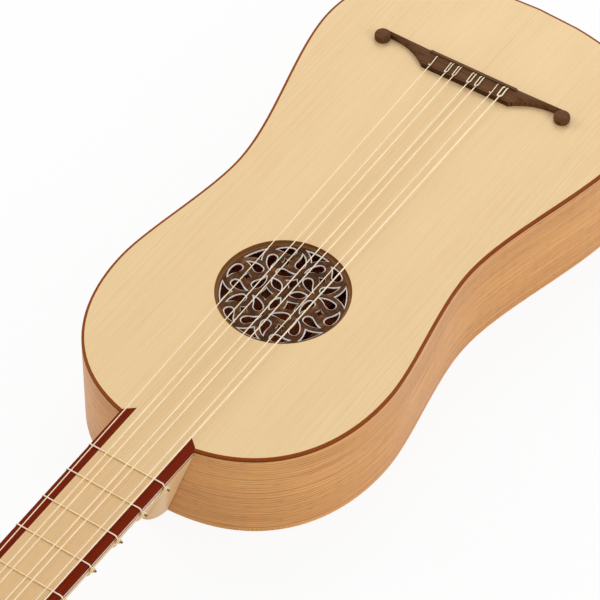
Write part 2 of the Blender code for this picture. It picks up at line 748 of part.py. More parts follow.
def frets(face):
    """Gut frets: each cord goes once round the neck and ends in two short tails at the bass edge."""
    off = GAP + FRET_RADIUS
    for number in range(1, FRET_COUNT + 1):
        y = fret_y(number)
        section = neck_section(y + 2 * FRET_RADIUS)
        count = len(section) // 2
        under = []
        for i in range(1, 2 * count - 1):
            before, here, after = section[i - 1], section[i], section[i + 1]
            chord = after - before
            outward = Vector((chord.z, 0, -chord.x)).normalized()
            if outward.dot(Vector((here.x, 0, here.z - NECK_TOP))) < 0:
                outward = -outward
            under.append(Vector((here.x, 0, here.z)) + outward * off * 1.15)
        half = fingerboard_half(y) + off
        across = [Vector((-half, 0, -BOARD)), Vector((-half, 0, 0.0)), Vector((-half + off * 0.7, 0, off)),
                  Vector((half - off * 0.7, 0, off)), Vector((half, 0, 0.0))]
        aside = Vector((0, FRET_KNOT_SPREAD, 0))
        knot = Vector((half + off, 0, -BOARD - 0.001))
        start = [knot + Vector((FRET_TAIL, 0, 0.0012)) - aside, knot - aside]
        finish = [knot + aside, knot + Vector((FRET_TAIL, 0, -0.0008)) + aside]
        route = start + under + across + finish
        name = f"fret_{number}"
        tube(name, route, FRET_RADIUS, 1, GUT, face, (0, y, 0))
        print(f"{name}: least gap to itself {least_gap(route, 2 * FRET_RADIUS) * 1000:.2f} mm")


def bridge_edges(x):
    """Front and rear of the bridge's foot, and how far out along an arm x lies, from 0 to 1."""
    side = math.copysign(1, x - BRIDGE_X)
    block_end = BRIDGE_X + side * BRIDGE_BLOCK_HALF
    arm_end = BRIDGE_X + side * KNOB_REACH
    away = max(0.0, (x - block_end) / (arm_end - block_end))
    hollow = (1 - min(away, 1)) ** BRIDGE_ARM_HOLLOW
    front = BRIDGE_ARM_FRONT_Y + (BRIDGE_FRONT_Y - BRIDGE_ARM_FRONT_Y) * hollow
    rear = BRIDGE_REAR_Y + BRIDGE_ARM_BOW * min(away, 1)
    return front + BRIDGE_SLANT * x, rear + BRIDGE_SLANT * x, away


def bridge_section(x):
    """Cross-section of the bridge across its length: tie block with a ridge, slim arm outside."""
    front, rear, away = bridge_edges(x)
    front_height = BRIDGE_FRONT_HEIGHT + (BRIDGE_ARM_FRONT_HEIGHT - BRIDGE_FRONT_HEIGHT) * away
    rear_height = BRIDGE_REAR_HEIGHT + (BRIDGE_ARM_HEIGHT - BRIDGE_REAR_HEIGHT) * away
    foot = max(rear - RIDGE_WIDTH, (front + rear) / 2)
    rise = RIDGE_RISE if abs(x - BRIDGE_X) < BRIDGE_BLOCK_HALF - RIDGE_STEP / 2 else 0
    points = [
        (front, GAP), (front, front_height), (foot, rear_height), (foot + EDGE_ROUNDING / 2, rear_height + rise),
        (rear - EDGE_ROUNDING, rear_height + rise), (rear, rear_height + rise - EDGE_ROUNDING), (rear, GAP),
    ]
    return [Vector((x, y, z)) for y, z in points]


def bridge_string_x(number):
    return MIDDLE_AT_BRIDGE + (PLACES_AT_BRIDGE[number] - 0.5) * SPREAD_AT_BRIDGE


def nut_string_x(number):
    return MIDDLE_AT_NUT + (PLACES_AT_NUT[number] - 0.5) * SPREAD_AT_NUT


def knob_rings(side):
    """Turned knob at the end of an arm, with a domed top."""
    x = BRIDGE_X + side * KNOB_REACH
    y = KNOB_Y + BRIDGE_SLANT * x
    profile = [(0.90, 0), (1.0, 0.25), (1.0, 0.65), (0.88, 0.87), (0.5, 1.0)]
    rings = []
    for share, rise in profile:
        z = GAP + (KNOB_HEIGHT - GAP) * rise
        rings.append([Vector((x + a, y + b, z)) for a, b in circle(KNOB_RADIUS * share, 12)])
    return rings


def tie_axes(number):
    """The two holes of a string's tie: in under the ridge from the front, and back out before the ridge."""
    x = bridge_string_x(number)
    front, rear, away = bridge_edges(x)
    length = rear - front
    enter = Vector((x, front, TIE_HOLE_HEIGHT))
    leave = Vector((x, rear, TIE_HOLE_HEIGHT - TIE_HOLE_FALL * length))
    aside = x + max(LOOP_HALF_WIDTHS[number], STRING_RADII[number])
    before = RIDGE_WIDTH + RETURN_HOLE_BEFORE_RIDGE
    mouth = Vector((aside, rear - before, on_slope(x, rear - before) + STRING_RADII[number] / 2))
    back = Vector((aside, rear, mouth.z - RETURN_HOLE_FALL * before))
    return enter, leave, mouth, back


def on_slope(x, y):
    """Height of the tie block's sloping top."""
    front, rear, away = bridge_edges(x)
    share = (y - front) / (rear - RIDGE_WIDTH - front)
    return BRIDGE_FRONT_HEIGHT + (BRIDGE_REAR_HEIGHT - BRIDGE_FRONT_HEIGHT) * share


def drill(bm, start, end, radius):
    """Adds a bore along a line in the plane of y and z, longer than the line at both ends."""
    along = (end - start).normalized()
    across = Vector((1, 0, 0))
    up = across.cross(along)
    beyond = along * radius * 2
    rings = []
    for point in (start - beyond, end + beyond):
        rings.append([point + across * a + up * b for a, b in circle(radius, 8)])
    loft(bm, rings)


def bridge(face):
    """Tie bridge: sloping block with a ridge and string holes, concave arms and a knob at each end."""
    block_ends = [BRIDGE_X - BRIDGE_BLOCK_HALF, BRIDGE_X + BRIDGE_BLOCK_HALF]
    arm_ends = [BRIDGE_X - KNOB_REACH, BRIDGE_X + KNOB_REACH]
    shares = (0, 0.06, 0.13, 0.22, 0.34, 0.5, 0.72, 1)
    left, right = [[near + (far - near) * share for share in shares] for near, far in zip(block_ends, arm_ends)]
    stations = left[::-1] + [block_ends[0] + RIDGE_STEP, block_ends[1] - RIDGE_STEP] + right
    bm = bmesh.new()
    loft(bm, [bridge_section(x) for x in stations])
    item = place("bridge", finish_mesh("bridge", bm), WALNUT, 0.45, face, 35)
    for name, side in (("bass", 1), ("treble", -1)):
        bm = bmesh.new()
        loft(bm, knob_rings(side))
        cut(item, cutter_object(f"knob_{name}_form", bm), "UNION")
    for name, first in (("tie", 0), ("return", 2)):
        bm = bmesh.new()
        for number, radius in enumerate(STRING_RADII):
            start, end = tie_axes(number)[first:first + 2]
            drill(bm, start, end, radius + TIE_HOLE_CLEARANCE)
        cut(item, cutter_object(f"{name}_hole_cutter", bm))


def head_place(s):
    """Point of the pegbox's front edge at arc length s, and how far the box has turned back there."""
    angle = s / HEAD_RADIUS
    y = HEAD_Y - HEAD_RADIUS * math.sin(angle)
    z = -HEAD_DROP - HEAD_RADIUS * (1 - math.cos(angle))
    return y, z, angle


def head_half(s):
    start = fingerboard_half(NUT_Y - NUT_THICKNESS)
    return start + (HEAD_HALF_WIDTH_END - start) * min(s / HEAD_LENGTH, 1)


def head_depth(s):
    """Depth of the pegbox, fullest at the middle."""
    t = min(s / HEAD_LENGTH, 1)
    return (HEAD_DEPTH_START * (1 - t) * (1 - 2 * t) + HEAD_DEPTH_MIDDLE * 4 * t * (1 - t)
            + HEAD_DEPTH_END * t * (2 * t - 1))


def head_ring(s, half, high, low, corner):
    """Ring across the pegbox, between two depths under the front edge, with rounded back corners."""
    y, z, angle = head_place(s)
    down = head_down(angle)
    base = Vector((0, y, z))
    flat = [(half, high), (half, low - corner), (half - corner * 0.3, low - corner * 0.3),
            (half - corner, low)]
    flat = flat + [(-x, depth) for x, depth in reversed(flat)]
    return [base + Vector((x, 0, 0)) + down * depth for x, depth in flat]


def head_down(angle):
    """Direction from the pegbox's front edge towards its back."""
    return Vector((0, math.sin(angle), -math.cos(angle)))


def peg_centres():
    """Axis of each peg: on a straight line inside the curved box."""
    count = len(PEG_STRINGS) - 1
    last_s = FIRST_PEG + PEG_SPACING * count
    ends = []
    for s, depth in ((FIRST_PEG, PEG_DEPTH), (last_s, LAST_PEG_DEPTH)):
        y, z, angle = head_place(s)
        ends.append(Vector((0, y, z)) + head_down(angle) * depth)
    return [(ends[0].lerp(ends[1], i / count), FIRST_PEG + PEG_SPACING * i) for i in range(count + 1)]


def peg_side(order):
    return 1 if order % 2 == 0 else -1


def pegbox(face):
    end = HEAD_LENGTH
    bm = bmesh.new()
    rings = []
    for i in range(11):
        s = end * i / 10
        rings.append(head_ring(s, head_half(s), 0, head_depth(s), 0.004))
    flare = ((0.25, 0.85), (0.45, 0.68), (0.65, 0.75), (0.85, 1.0), (1.0, 0.92))
    for t, share in flare:
        half = FINIAL_FLARE * share if share >= 0.9 else FINIAL_NECK * share / 0.68
        s = end + FINIAL_LENGTH * t
        rings.append(head_ring(s, half, HEAD_DEPTH_END * (1 - share) / 2,
                               HEAD_DEPTH_END * (1 + share) / 2, 0.002))
    loft(bm, rings)
    item = place("pegbox", finish_mesh("pegbox", bm), MAPLE, 0.4, face, 40)
    bm = bmesh.new()
    rings = []
    stop = end - HEAD_WALL_AT_END
    for i in range(9):
        s = HEAD_WALL_AT_NUT + (stop - HEAD_WALL_AT_NUT) * i / 8
        rings.append(head_ring(s, head_half(s) - CHEEK, -0.008, head_depth(s) - HEAD_FLOOR, 0.002))
    loft(bm, rings)
    cut(item, cutter_object("pegbox_cavity_cutter", bm))
    bm = bmesh.new()
    for order, (centre, s) in enumerate(peg_centres()):
        side = peg_side(order)
        rings = []
        reach = head_half(s) + 0.004
        for x in (-reach, reach):
            radius = peg_radius(x) + GAP
            bore = circle(radius / math.cos(math.pi / 10), 10)
            rings.append([centre + Vector((side * x, b, a)) for a, b in bore])
        loft(bm, rings)
    cut(item, cutter_object("peg_hole_cutter", bm))


def peg_radius(x):
    """Radius of the tapered shaft, growing towards the peg's head."""
    return PEG_RADIUS + PEG_TAPER * x


def winding_route(centre, order):
    """Route of the string on its peg, in the peg's own axes, and where the string comes in."""
    offset = WINDING_X[order]
    side = peg_side(order)
    radius = STRING_RADII[PEG_STRINGS[order] - 1]
    coil = peg_radius(side * offset) + GAP + radius
    nut_back = Vector((0, NUT_Y - NUT_THICKNESS * 0.7, NUT_RISE + GAP + radius))
    away = nut_back - centre
    lean = math.atan2(away.z, away.y) + math.acos(coil / away.length)
    pitch = 2 * radius + WINDING_GAP
    drift = -math.copysign(1, offset)
    start_x = offset - drift * pitch * WINDING_TURNS / 2

    def on_coil(turn, reach=coil):
        angle = lean + 2 * math.pi * turn
        return Vector((start_x + drift * pitch * turn, reach * math.cos(angle), reach * math.sin(angle)))

    touch = on_coil(0)
    entry = Vector((0, math.sin(lean), -math.cos(lean)))
    route = [touch + entry * 2 * radius]
    steps = WINDING_TURNS * TURN_POINTS
    route += [on_coil(i / TURN_POINTS) for i in range(steps + 1)]
    last = WINDING_TURNS + 1 / TURN_POINTS
    foot = on_coil(last)
    inward = Vector((0, foot.y, foot.z)).normalized()
    route += [foot - inward * radius * 0.6 + Vector((0, -inward.z, inward.y)) * radius * 0.4]
    root = Vector((foot.x, 0, 0)) + inward * (coil - radius * 4)
    route += [root + inward * radius * 0.2, root - inward * radius * 1.6]
    return route, touch + entry * STRING_STANDOFF, foot, inward


def peg_profile(reach):
    """Stations along a peg, from its tip, each with its half width and half thickness."""
    collar = reach + PEG_NECK
    stations = []
    for x, share in ((-reach - PEG_TIP_STAND, 0.8), (-reach - PEG_TIP_STAND / 2, 1), (collar, 1)):
        stations.append((x, peg_radius(x) * share, peg_radius(x) * share))
    for share, width in ((0.02, 1), (0.10, 1), (0.15, 0.77)):
        stations.append((collar + PEG_HEAD_LENGTH * share, PEG_COLLAR_RADIUS * width, PEG_COLLAR_RADIUS * width))
    for share, width, thickness in ((0.34, 0.72, 0.9), (0.63, 1, 1), (0.86, 0.82, 0.9), (1, 0.35, 0.6),
                                    (1.05, 0.12, 0.35)):
        stations.append((collar + PEG_HEAD_LENGTH * share, PEG_HEAD_HALF_WIDTH * width,
                         PEG_HEAD_HALF_THICKNESS * thickness))
    return stations


def pegs(face):
    """Seven tapered friction pegs, each with a string hole, and the string wound on it."""
    for order, (centre, s) in enumerate(peg_centres()):
        number = PEG_STRINGS[order]
        side = peg_side(order)
        reach = head_half(s)
        radius = STRING_RADII[number - 1]
        bm = bmesh.new()
        lean = 0.5 + PEG_HEAD_STEP * order
        loops = []
        for x, ry, rz in peg_profile(reach):
            ring = []
            for i in range(PEG_SIDES):
                angle = 2 * math.pi * i / PEG_SIDES
                a, b = ry * math.cos(angle), rz * math.sin(angle)
                ring.append(Vector((side * x, a * math.cos(lean) - b * math.sin(lean),
                                    a * math.sin(lean) + b * math.cos(lean))))
            loops.append(ring)
        loft(bm, loops)
        name = f"peg_{number}"
        item = place(name, finish_mesh(name, bm), ROSEWOOD, 0.3, face, 50)
        item.location = centre
        route, end, foot, inward = winding_route(centre, order)
        bore = radius + STRING_HOLE_CLEARANCE
        bm = bmesh.new()
        across = Vector((0, -inward.z, inward.y))
        root = Vector((foot.x, 0, 0))
        rings = []
        for depth in (0.0008, 0.0060):
            rings.append([root + inward * depth + Vector((a, 0, 0)) + across * b for a, b in circle(bore, 8)])
        loft(bm, rings)
        hole = cutter_object(f"string_hole_cutter_{number}", bm)
        cut(item, hole)
        hole.location = centre
        tube(f"winding_{number}", route, radius, 1, NYLON, face, centre)
        print(f"winding_{number}: least gap to itself {least_gap(route, 2 * radius) * 1000:.2f} mm")


def tie(number):
    """Route of a string's tie: under the ridge, back out in front of it, round itself and up again."""
    radius = STRING_RADII[number]
    lift = GAP + radius
    enter, leave, mouth, back = tie_axes(number)
    half = mouth.x - enter.x
    spare = GAP + 2 * radius
    cross_z = enter.z + spare + GAP / 2

    def over(x, y):
        return Vector((x, y, on_slope(x, y) + lift * 1.1))

    turn_y = enter.y + 0.0018
    route = [
        enter,
        leave,
        leave + Vector((half * 0.2, lift, lift * 0.4)),
        back + Vector((0, lift, -lift * 0.4)),
        back,
        mouth,
        over(mouth.x, mouth.y - lift * 2),
        over(mouth.x, turn_y),
        Vector((enter.x + half * 0.8, enter.y + 0.0006, cross_z)),
        Vector((enter.x, enter.y - 0.0002, cross_z + radius * 0.2)),
    ]
    if LOOP_HALF_WIDTHS[number] == 0:
        end = Vector((enter.x - spare, enter.y + SHORT_TIE_LENGTH / 2, cross_z - GAP))
        return route + [end, over(end.x, enter.y + SHORT_TIE_LENGTH)]
    return route + [
        Vector((enter.x - half * 0.8, enter.y + 0.0006, cross_z)),
        over(enter.x - half, turn_y),
        over(enter.x - half, mouth.y - lift * 2),
        over(enter.x - half * 0.7, mouth.y - lift),
        over(mouth.x - spare - GAP, mouth.y - lift * 0.6),
    ]


def strings(face):
    """Each string: over the nut, along the neck, through the bridge, back and tied round itself."""
    centres = [centre for centre, s in peg_centres()]
    for number, radius in enumerate(STRING_RADII):
        order = PEG_STRINGS.index(number + 1)
        centre = centres[order]
        route, end, foot, inward = winding_route(centre, order)
        nut_x = nut_string_x(number)
        ride = NUT_RISE + GAP + radius
        points = [
            centre + end,
            Vector((nut_x, NUT_Y - NUT_THICKNESS * 0.7, ride)),
            Vector((nut_x, NUT_Y - NUT_THICKNESS * 0.3, ride)),
        ] + tie(number)
        name = f"string_{number + 1}"
        tube(name, points, radius, 2, NYLON, face)
        print(f"{name}: length {sum((b - a).length for a, b in zip(points, points[1:])):.3f} m")


def main():
    clear_scene()
    body = bpy.data.objects.new("body_frame", None)
    face = bpy.data.objects.new("soundboard_plane", None)
    for empty in (body, face):
        bpy.context.scene.collection.objects.link(empty)
    face.parent = body
    face.location = (0, 0, TOP_AT_BRIDGE)
    face.rotation_euler = (TILT, 0, 0)
    back_plates(body)
    ribs(body)
    linings(body)
    blocks(body)
    bars(body, face)
    soundboard(face)
    bindings(face)
    rose(face)
    neck(face, body)
    fingerboard(face)
    nut(face)
    frets(face)
    bridge(face)
    pegbox(face)
    pegs(face)
    strings(face)


main()
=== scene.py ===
"""Renaissance guitar: fine pieces, wood and gut finishes, and the studio around them.

Every piece is drawn in the model's own metres. Pieces that lie with the soundboard are drawn flat in
its plane, with the bridge line at y = 0, and FACE carries them to their place.
"""
import math

import bmesh
import bpy
from mathutils import Matrix, Vector


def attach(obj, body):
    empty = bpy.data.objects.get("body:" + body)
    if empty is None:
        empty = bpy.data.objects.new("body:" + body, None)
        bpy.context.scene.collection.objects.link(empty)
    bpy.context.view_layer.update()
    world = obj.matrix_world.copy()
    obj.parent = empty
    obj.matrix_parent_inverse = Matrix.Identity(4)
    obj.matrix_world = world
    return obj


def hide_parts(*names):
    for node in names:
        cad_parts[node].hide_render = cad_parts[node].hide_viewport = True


bl_info = {
    "name": "Renaissance Guitar",
    "version": (1, 0, 0),
    "blender": (4, 5, 0),
    "location": "3D View > Sidebar > Guitar",
    "description": "Makes the fine pieces, the finishes and the studio of a renaissance guitar",
    "category": "Object",
}

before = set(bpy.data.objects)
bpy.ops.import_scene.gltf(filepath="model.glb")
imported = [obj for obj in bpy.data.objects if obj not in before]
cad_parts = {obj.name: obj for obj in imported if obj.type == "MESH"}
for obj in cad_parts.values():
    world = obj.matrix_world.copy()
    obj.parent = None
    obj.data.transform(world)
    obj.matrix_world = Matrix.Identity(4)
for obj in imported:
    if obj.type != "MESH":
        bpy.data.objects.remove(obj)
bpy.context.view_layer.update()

# Fits: pieces glued together meet closely, pieces that move keep a little air
SEAM = 0.00003
AIR = 0.0003

# Points closer than this are one point
MERGE_DISTANCE = 0.000001

# Edges sharper than this, in degrees, are shaded crisp on solids and on cords, or are rounded off
SOLID_CRISP = 35
CORD_CRISP = 60
ROUNDED_FROM = 60

# Body outline, with the bridge line at y = 0
TAIL_Y = 0.0857
LOWER_BOUT = (0.1049, 0.0108)
WAIST = (0.0793, -0.1242)
UPPER_BOUT = (0.0913, -0.2206)
NECK_JOIN_Y = -0.3148
TAIL_CURVE_LENGTH = 0.0672
LOWER_BOUT_CURVE_LENGTH = (0.0503, 0.0376)
WAIST_CURVE_LENGTH = (0.0403, 0.0302)
UPPER_BOUT_CURVE_LENGTH = (0.0256, 0.0499)
SHOULDER_CURVE_LENGTH = 0.0644
SHOULDER_BOW = 4.0
DEPTH_AT_TAIL = 0.068
DEPTH_AT_NECK = 0.062
BOARD = 0.002
BACK = 0.0025
RIB = 0.0018
BINDING_WIDTH = 0.0016
BINDING_HEIGHT = 0.0018
BINDING_ROUND_SHARE = 0.29
BACK_ROUND_STEPS = 5
BACK_STRIP_WIDTH = 0.003

# Rose
ROSE_Y = -0.1918
ROSE_HOLE_RADIUS = 0.0386
ROSE_EDGE_STEPS = 160
ROSE_FLANGE = 0.0040
TRACERY_THICKNESS = 0.0006
PARCHMENT_THICKNESS = 0.0006
PARCHMENT_LEDGE = 0.00064
ROSE_OPENING_RADIUS = 0.0360
CIRCLE_COUNT = 6
CIRCLE_CENTRE = 0.0245
CIRCLE_RADIUS = 0.0138
COMMAS_PER_CIRCLE = 4
COMMA_RIM_RADIUS = 0.0116
COMMA_HEAD_RADIUS = 0.0033
COMMA_HEAD_ANGLE = math.radians(-107)
COMMA_TIP_ANGLE = math.radians(-47)
COMMA_BEND = ((0.0008, -0.0052), (0.0022, -0.0082))
COMMA_RIM_STEPS = 18
COMMA_STEPS = 16
COMMA_TIP_MARGINS = 2.5
STAR_TIP = 0.0040
STAR_WAIST = 0.0018
STAR_TURN = math.radians(20)
LENS_START = 0.0020
LENS_END = 0.0146
LENS_HALF_WIDTH = 0.0031
LENS_STEPS = 16
DIAMOND_CENTRE = 0.0097
DIAMOND_TIPS = (0.0050, 0.0057)
DIAMOND_WAIST = 0.0030
HOLLOW_SIDE_STEPS = 8
RIM_OPENING_STEPS = 12

# Neck, fingerboard, nut and frets
SCALE = 0.540
NUT_THICKNESS = 0.005
NUT_RISE = 0.0010
NUT_CROWN = 0.0006
NUT_CROWN_STEPS = 12
NUT_GROOVE_FIT = 1.3
NUT_GROOVE_OVERRUN = 0.5
NUT_REAR_BEARING = 0.7
NUT_FRONT_BEARING = 0.3
FRET_COUNT = 8
BOARD_END_FRET = 8
FINGERBOARD_HALF_WIDTH = 0.0241
FINGERBOARD_TAPER = 0.0080
STRIP_WIDTH = 0.0063
STRIP_CORNER_Y = -0.3110
STRIP_TIP_Y = -0.3055
NECK_DEPTH_AT_NUT = 0.0160
NECK_DEPTH_AT_HEEL = 0.0180
NECK_CHEEK = 0.0025
NECK_SECTION_STEPS = 18
HEEL_FRONT_Y = -0.3290
HEEL_DEPTH = 0.0600
HEEL_SWEEP = 0.0105
HEEL_SPREAD = 0.0110
HEEL_HALF_WIDTH = 0.0080
HEEL_RIDGE = 0.0004
HEEL_STEPS = 32
HEEL_STEPS_REACH = 6.5
HEEL_STEPS_CROWDING = 1.6
HEEL_FOOT_STATIONS = (0.03, 0.08, 0.16, 0.28, 0.44, 0.63, 0.85, 1.4)
SHAFT_STATIONS = (0, 0.2, 0.4)
FRET_RADIUS = 0.0004
FRET_AIR = 0.00012
FRET_STAND_BELOW = 1.1
FRET_END_ASIDE = 1.05
FRET_EDGE_SHARE = 0.4
FRET_TURN_RADIUS = 0.0012
KNOT_PITCH = 0.00085
KNOT_HALF_WIDTH = 0.00120
KNOT_HALF_HEIGHT = 0.00095
KNOT_DROP = 0.0006
KNOT_START = 0.10
KNOT_TURNS = 2.25
KNOT_STEPS = 16
KNOT_END_RISE = 0.0003
KNOT_END_DROP = 0.0004
BURNT_SHARE = 0.30
BURNT_REACH = 1.4
BURNT_FADE = 0.6

# Bridge
BRIDGE_X = -0.0024
BRIDGE_FRONT_Y = 0.0024
BRIDGE_REAR_Y = 0.0136
BRIDGE_SLANT = 0.011
BRIDGE_BLOCK_HALF = 0.0300
BRIDGE_ARM_FRONT_Y = 0.0129
BRIDGE_ARM_BOW = 0.0011
BRIDGE_ARM_HOLLOW = 2.8
BRIDGE_FRONT_HEIGHT = 0.0035
BRIDGE_REAR_HEIGHT = 0.0049
BRIDGE_ARM_HEIGHT = 0.0044
BRIDGE_ARM_FRONT_HEIGHT = 0.0030
BRIDGE_ARM_STEPS = 30
BRIDGE_ARM_CROWDING = 1.25
RIDGE_WIDTH = 0.0023
RIDGE_RISE = 0.0010
RIDGE_STEP = 0.0003
KNOB_REACH = 0.0623
KNOB_Y = 0.0102
KNOB_RADIUS = 0.0050
KNOB_HEIGHT = 0.0052
KNOB_SIDES = 40
KNOB_PROFILE = (
    (0.86, 0.0), (0.93, 0.05), (0.97, 0.14), (1.0, 0.30), (1.0, 0.55), (0.985, 0.68), (0.94, 0.79),
    (0.86, 0.88), (0.72, 0.95), (0.50, 0.985), (0.25, 1.0),
)
TIE_HOLE_HEIGHT = 0.0039
TIE_HOLE_FALL = 0.20
RETURN_HOLE_BEFORE_RIDGE = 0.0002
RETURN_HOLE_FALL = 0.45
TIE_HOLE_CLEARANCE = 0.0004
HOLE_SIDES = 16

# Strings, from the treble side to the bass side, and every other cord
STRING_RADII = (0.00028, 0.00030, 0.00030, 0.00034, 0.00034, 0.00028, 0.00042)
SPREAD_AT_BRIDGE = 0.0478
SPREAD_AT_NUT = 0.0357
MIDDLE_AT_BRIDGE = -0.0030
MIDDLE_AT_NUT = 0.0004
PLACES_AT_BRIDGE = (0.0, 0.227, 0.340, 0.553, 0.666, 0.884, 1.0)
PLACES_AT_NUT = (0.0, 0.226, 0.322, 0.566, 0.664, 0.905, 1.0)
LOOP_HALF_WIDTHS = (0.0, 0.00080, 0.00080, 0.00100, 0.00100, 0.0, 0.00125)
SHORT_TIE_LENGTH = 0.0009
TIE_TURN_LENGTH = 0.0018
TIE_CROSS_LENGTH = 0.0006
TIE_OVERHANG = 0.0002
TIE_RIDE = 1.1
TIE_CROSS_SHARE = 0.8
CORD_TURN_STEPS = 4

# Pegbox and pegs
HEAD_RADIUS = 0.260
HEAD_LENGTH = 0.115
HEAD_DROP = 0.0025
HEAD_HALF_WIDTH_END = 0.0130
HEAD_DEPTH_START = 0.0185
HEAD_DEPTH_MIDDLE = 0.0255
HEAD_DEPTH_END = 0.0180
CHEEK = 0.0045
HEAD_FLOOR = 0.0035
HEAD_WALL_AT_NUT = 0.0025
HEAD_WALL_AT_END = 0.0080
HEAD_CORNER = 0.004
HEAD_CORNER_STEPS = 6
HEAD_ROUNDING = 1.5
HEAD_STEPS = 30
CAVITY_CORNER = 0.002
CAVITY_RISE = 0.008
CAVITY_STEPS = 24
FINIAL_LENGTH = 0.0160
FINIAL_NECK = 0.0085
FINIAL_FLARE = 0.0125
FINIAL_CORNER = 0.002
FINIAL_STEPS = 5
FINIAL_PROFILE = (
    (0, HEAD_HALF_WIDTH_END, 1), (0.25, FINIAL_NECK * 1.25, 0.85), (0.45, FINIAL_NECK, 0.68),
    (0.65, FINIAL_NECK * 1.10, 0.75), (0.85, FINIAL_FLARE, 1.0), (1.0, FINIAL_FLARE * 0.92, 0.92),
)
FIRST_PEG = 0.0220
LAST_PEG_FROM_END = 0.0168
PEG_DEPTH = 0.0120
LAST_PEG_DEPTH = 0.0100
PEG_RADIUS = 0.0035
PEG_TAPER = 1 / 60
PEG_HOLE_OVERRUN = 0.004
PEG_HOLE_SIDES = 32
PEG_TIP_STAND = 0.0012
PEG_TIP_PROFILE = ((0.0, 0.55), (0.0002, 0.80), (0.0005, 0.93), (0.0010, 1.0))
PEG_NECK = 0.0035
PEG_SHOULDER = 0.0002
PEG_COLLAR_RADIUS = 0.0052
PEG_COLLAR_PROFILE = (
    (0.0, 0.86), (0.02, 0.97), (0.06, 1.02), (0.10, 0.97), (0.13, 0.86), (0.16, 0.76), (0.20, 0.72),
)
PEG_HEAD_LENGTH = 0.0175
PEG_HEAD_HALF_WIDTH = 0.0100
PEG_HEAD_HALF_THICKNESS = 0.0034
PEG_HEAD_LEAN = 0.5
PEG_HEAD_STEP = 0.9
PEG_HEAD_STEPS = 3
PEG_HEAD_PROFILE = (
    (0.20, 0.374, 1.10), (0.34, 0.72, 0.90), (0.48, 0.93, 0.96), (0.63, 1.0, 1.0), (0.76, 0.95, 0.98),
    (0.86, 0.82, 0.90), (0.95, 0.58, 0.75), (1.02, 0.30, 0.50), (1.05, 0.10, 0.25),
)
STRING_HOLE_CLEARANCE = 0.0004
STRING_HOLE_ENDS = (0.0008, 0.0060)
WINDING_TURNS = 2
WINDING_GAP = 0.00045
STRING_STANDOFF = 0.0025
TURN_POINTS = 24
PEG_STRINGS = (7, 1, 6, 2, 5, 3, 4)
WINDING_X = (0.0128, -0.0120, 0.0080, -0.0066, 0.0040, -0.0034, 0.0005)

SLOPE = (DEPTH_AT_TAIL - DEPTH_AT_NECK) / (TAIL_Y - NECK_JOIN_Y)
TILT = math.atan(SLOPE)
TOP_AT_BRIDGE = DEPTH_AT_TAIL - TAIL_Y * SLOPE
FACE = Matrix.Translation((0, 0, TOP_AT_BRIDGE)) @ Matrix.Rotation(TILT, 4, "X")
NECK_TOP = -(BOARD + SEAM)
NUT_Y = -SCALE
HEAD_Y = NUT_Y - NUT_THICKNESS - AIR
PEG_SPACING = (HEAD_LENGTH - LAST_PEG_FROM_END - FIRST_PEG) / (len(PEG_STRINGS) - 1)

SIDES = (("bass", 1), ("treble", -1))
INNER_NODES = (
    "tail_block", "neck_block", "top_lining_bass", "top_lining_treble", "back_lining_bass",
    "back_lining_treble", "waist_bar", "shoulder_bar", "lower_bar", "back_bar_1", "back_bar_2",
    "back_bar_3", "rose_cleat_bass", "rose_cleat_treble",
)


def colour_setting(name, colour, description):
    return bpy.props.FloatVectorProperty(
        name=name, description=description, default=colour, size=3, min=0, max=1, subtype="COLOR")


def length_setting(name, default, description):
    return bpy.props.FloatProperty(
        name=name, description=description, default=default, min=0, subtype="DISTANCE", unit="LENGTH",
        precision=5)


def share_setting(name, default, description):
    return bpy.props.FloatProperty(
        name=name, description=description, default=default, min=0, max=1, subtype="FACTOR")


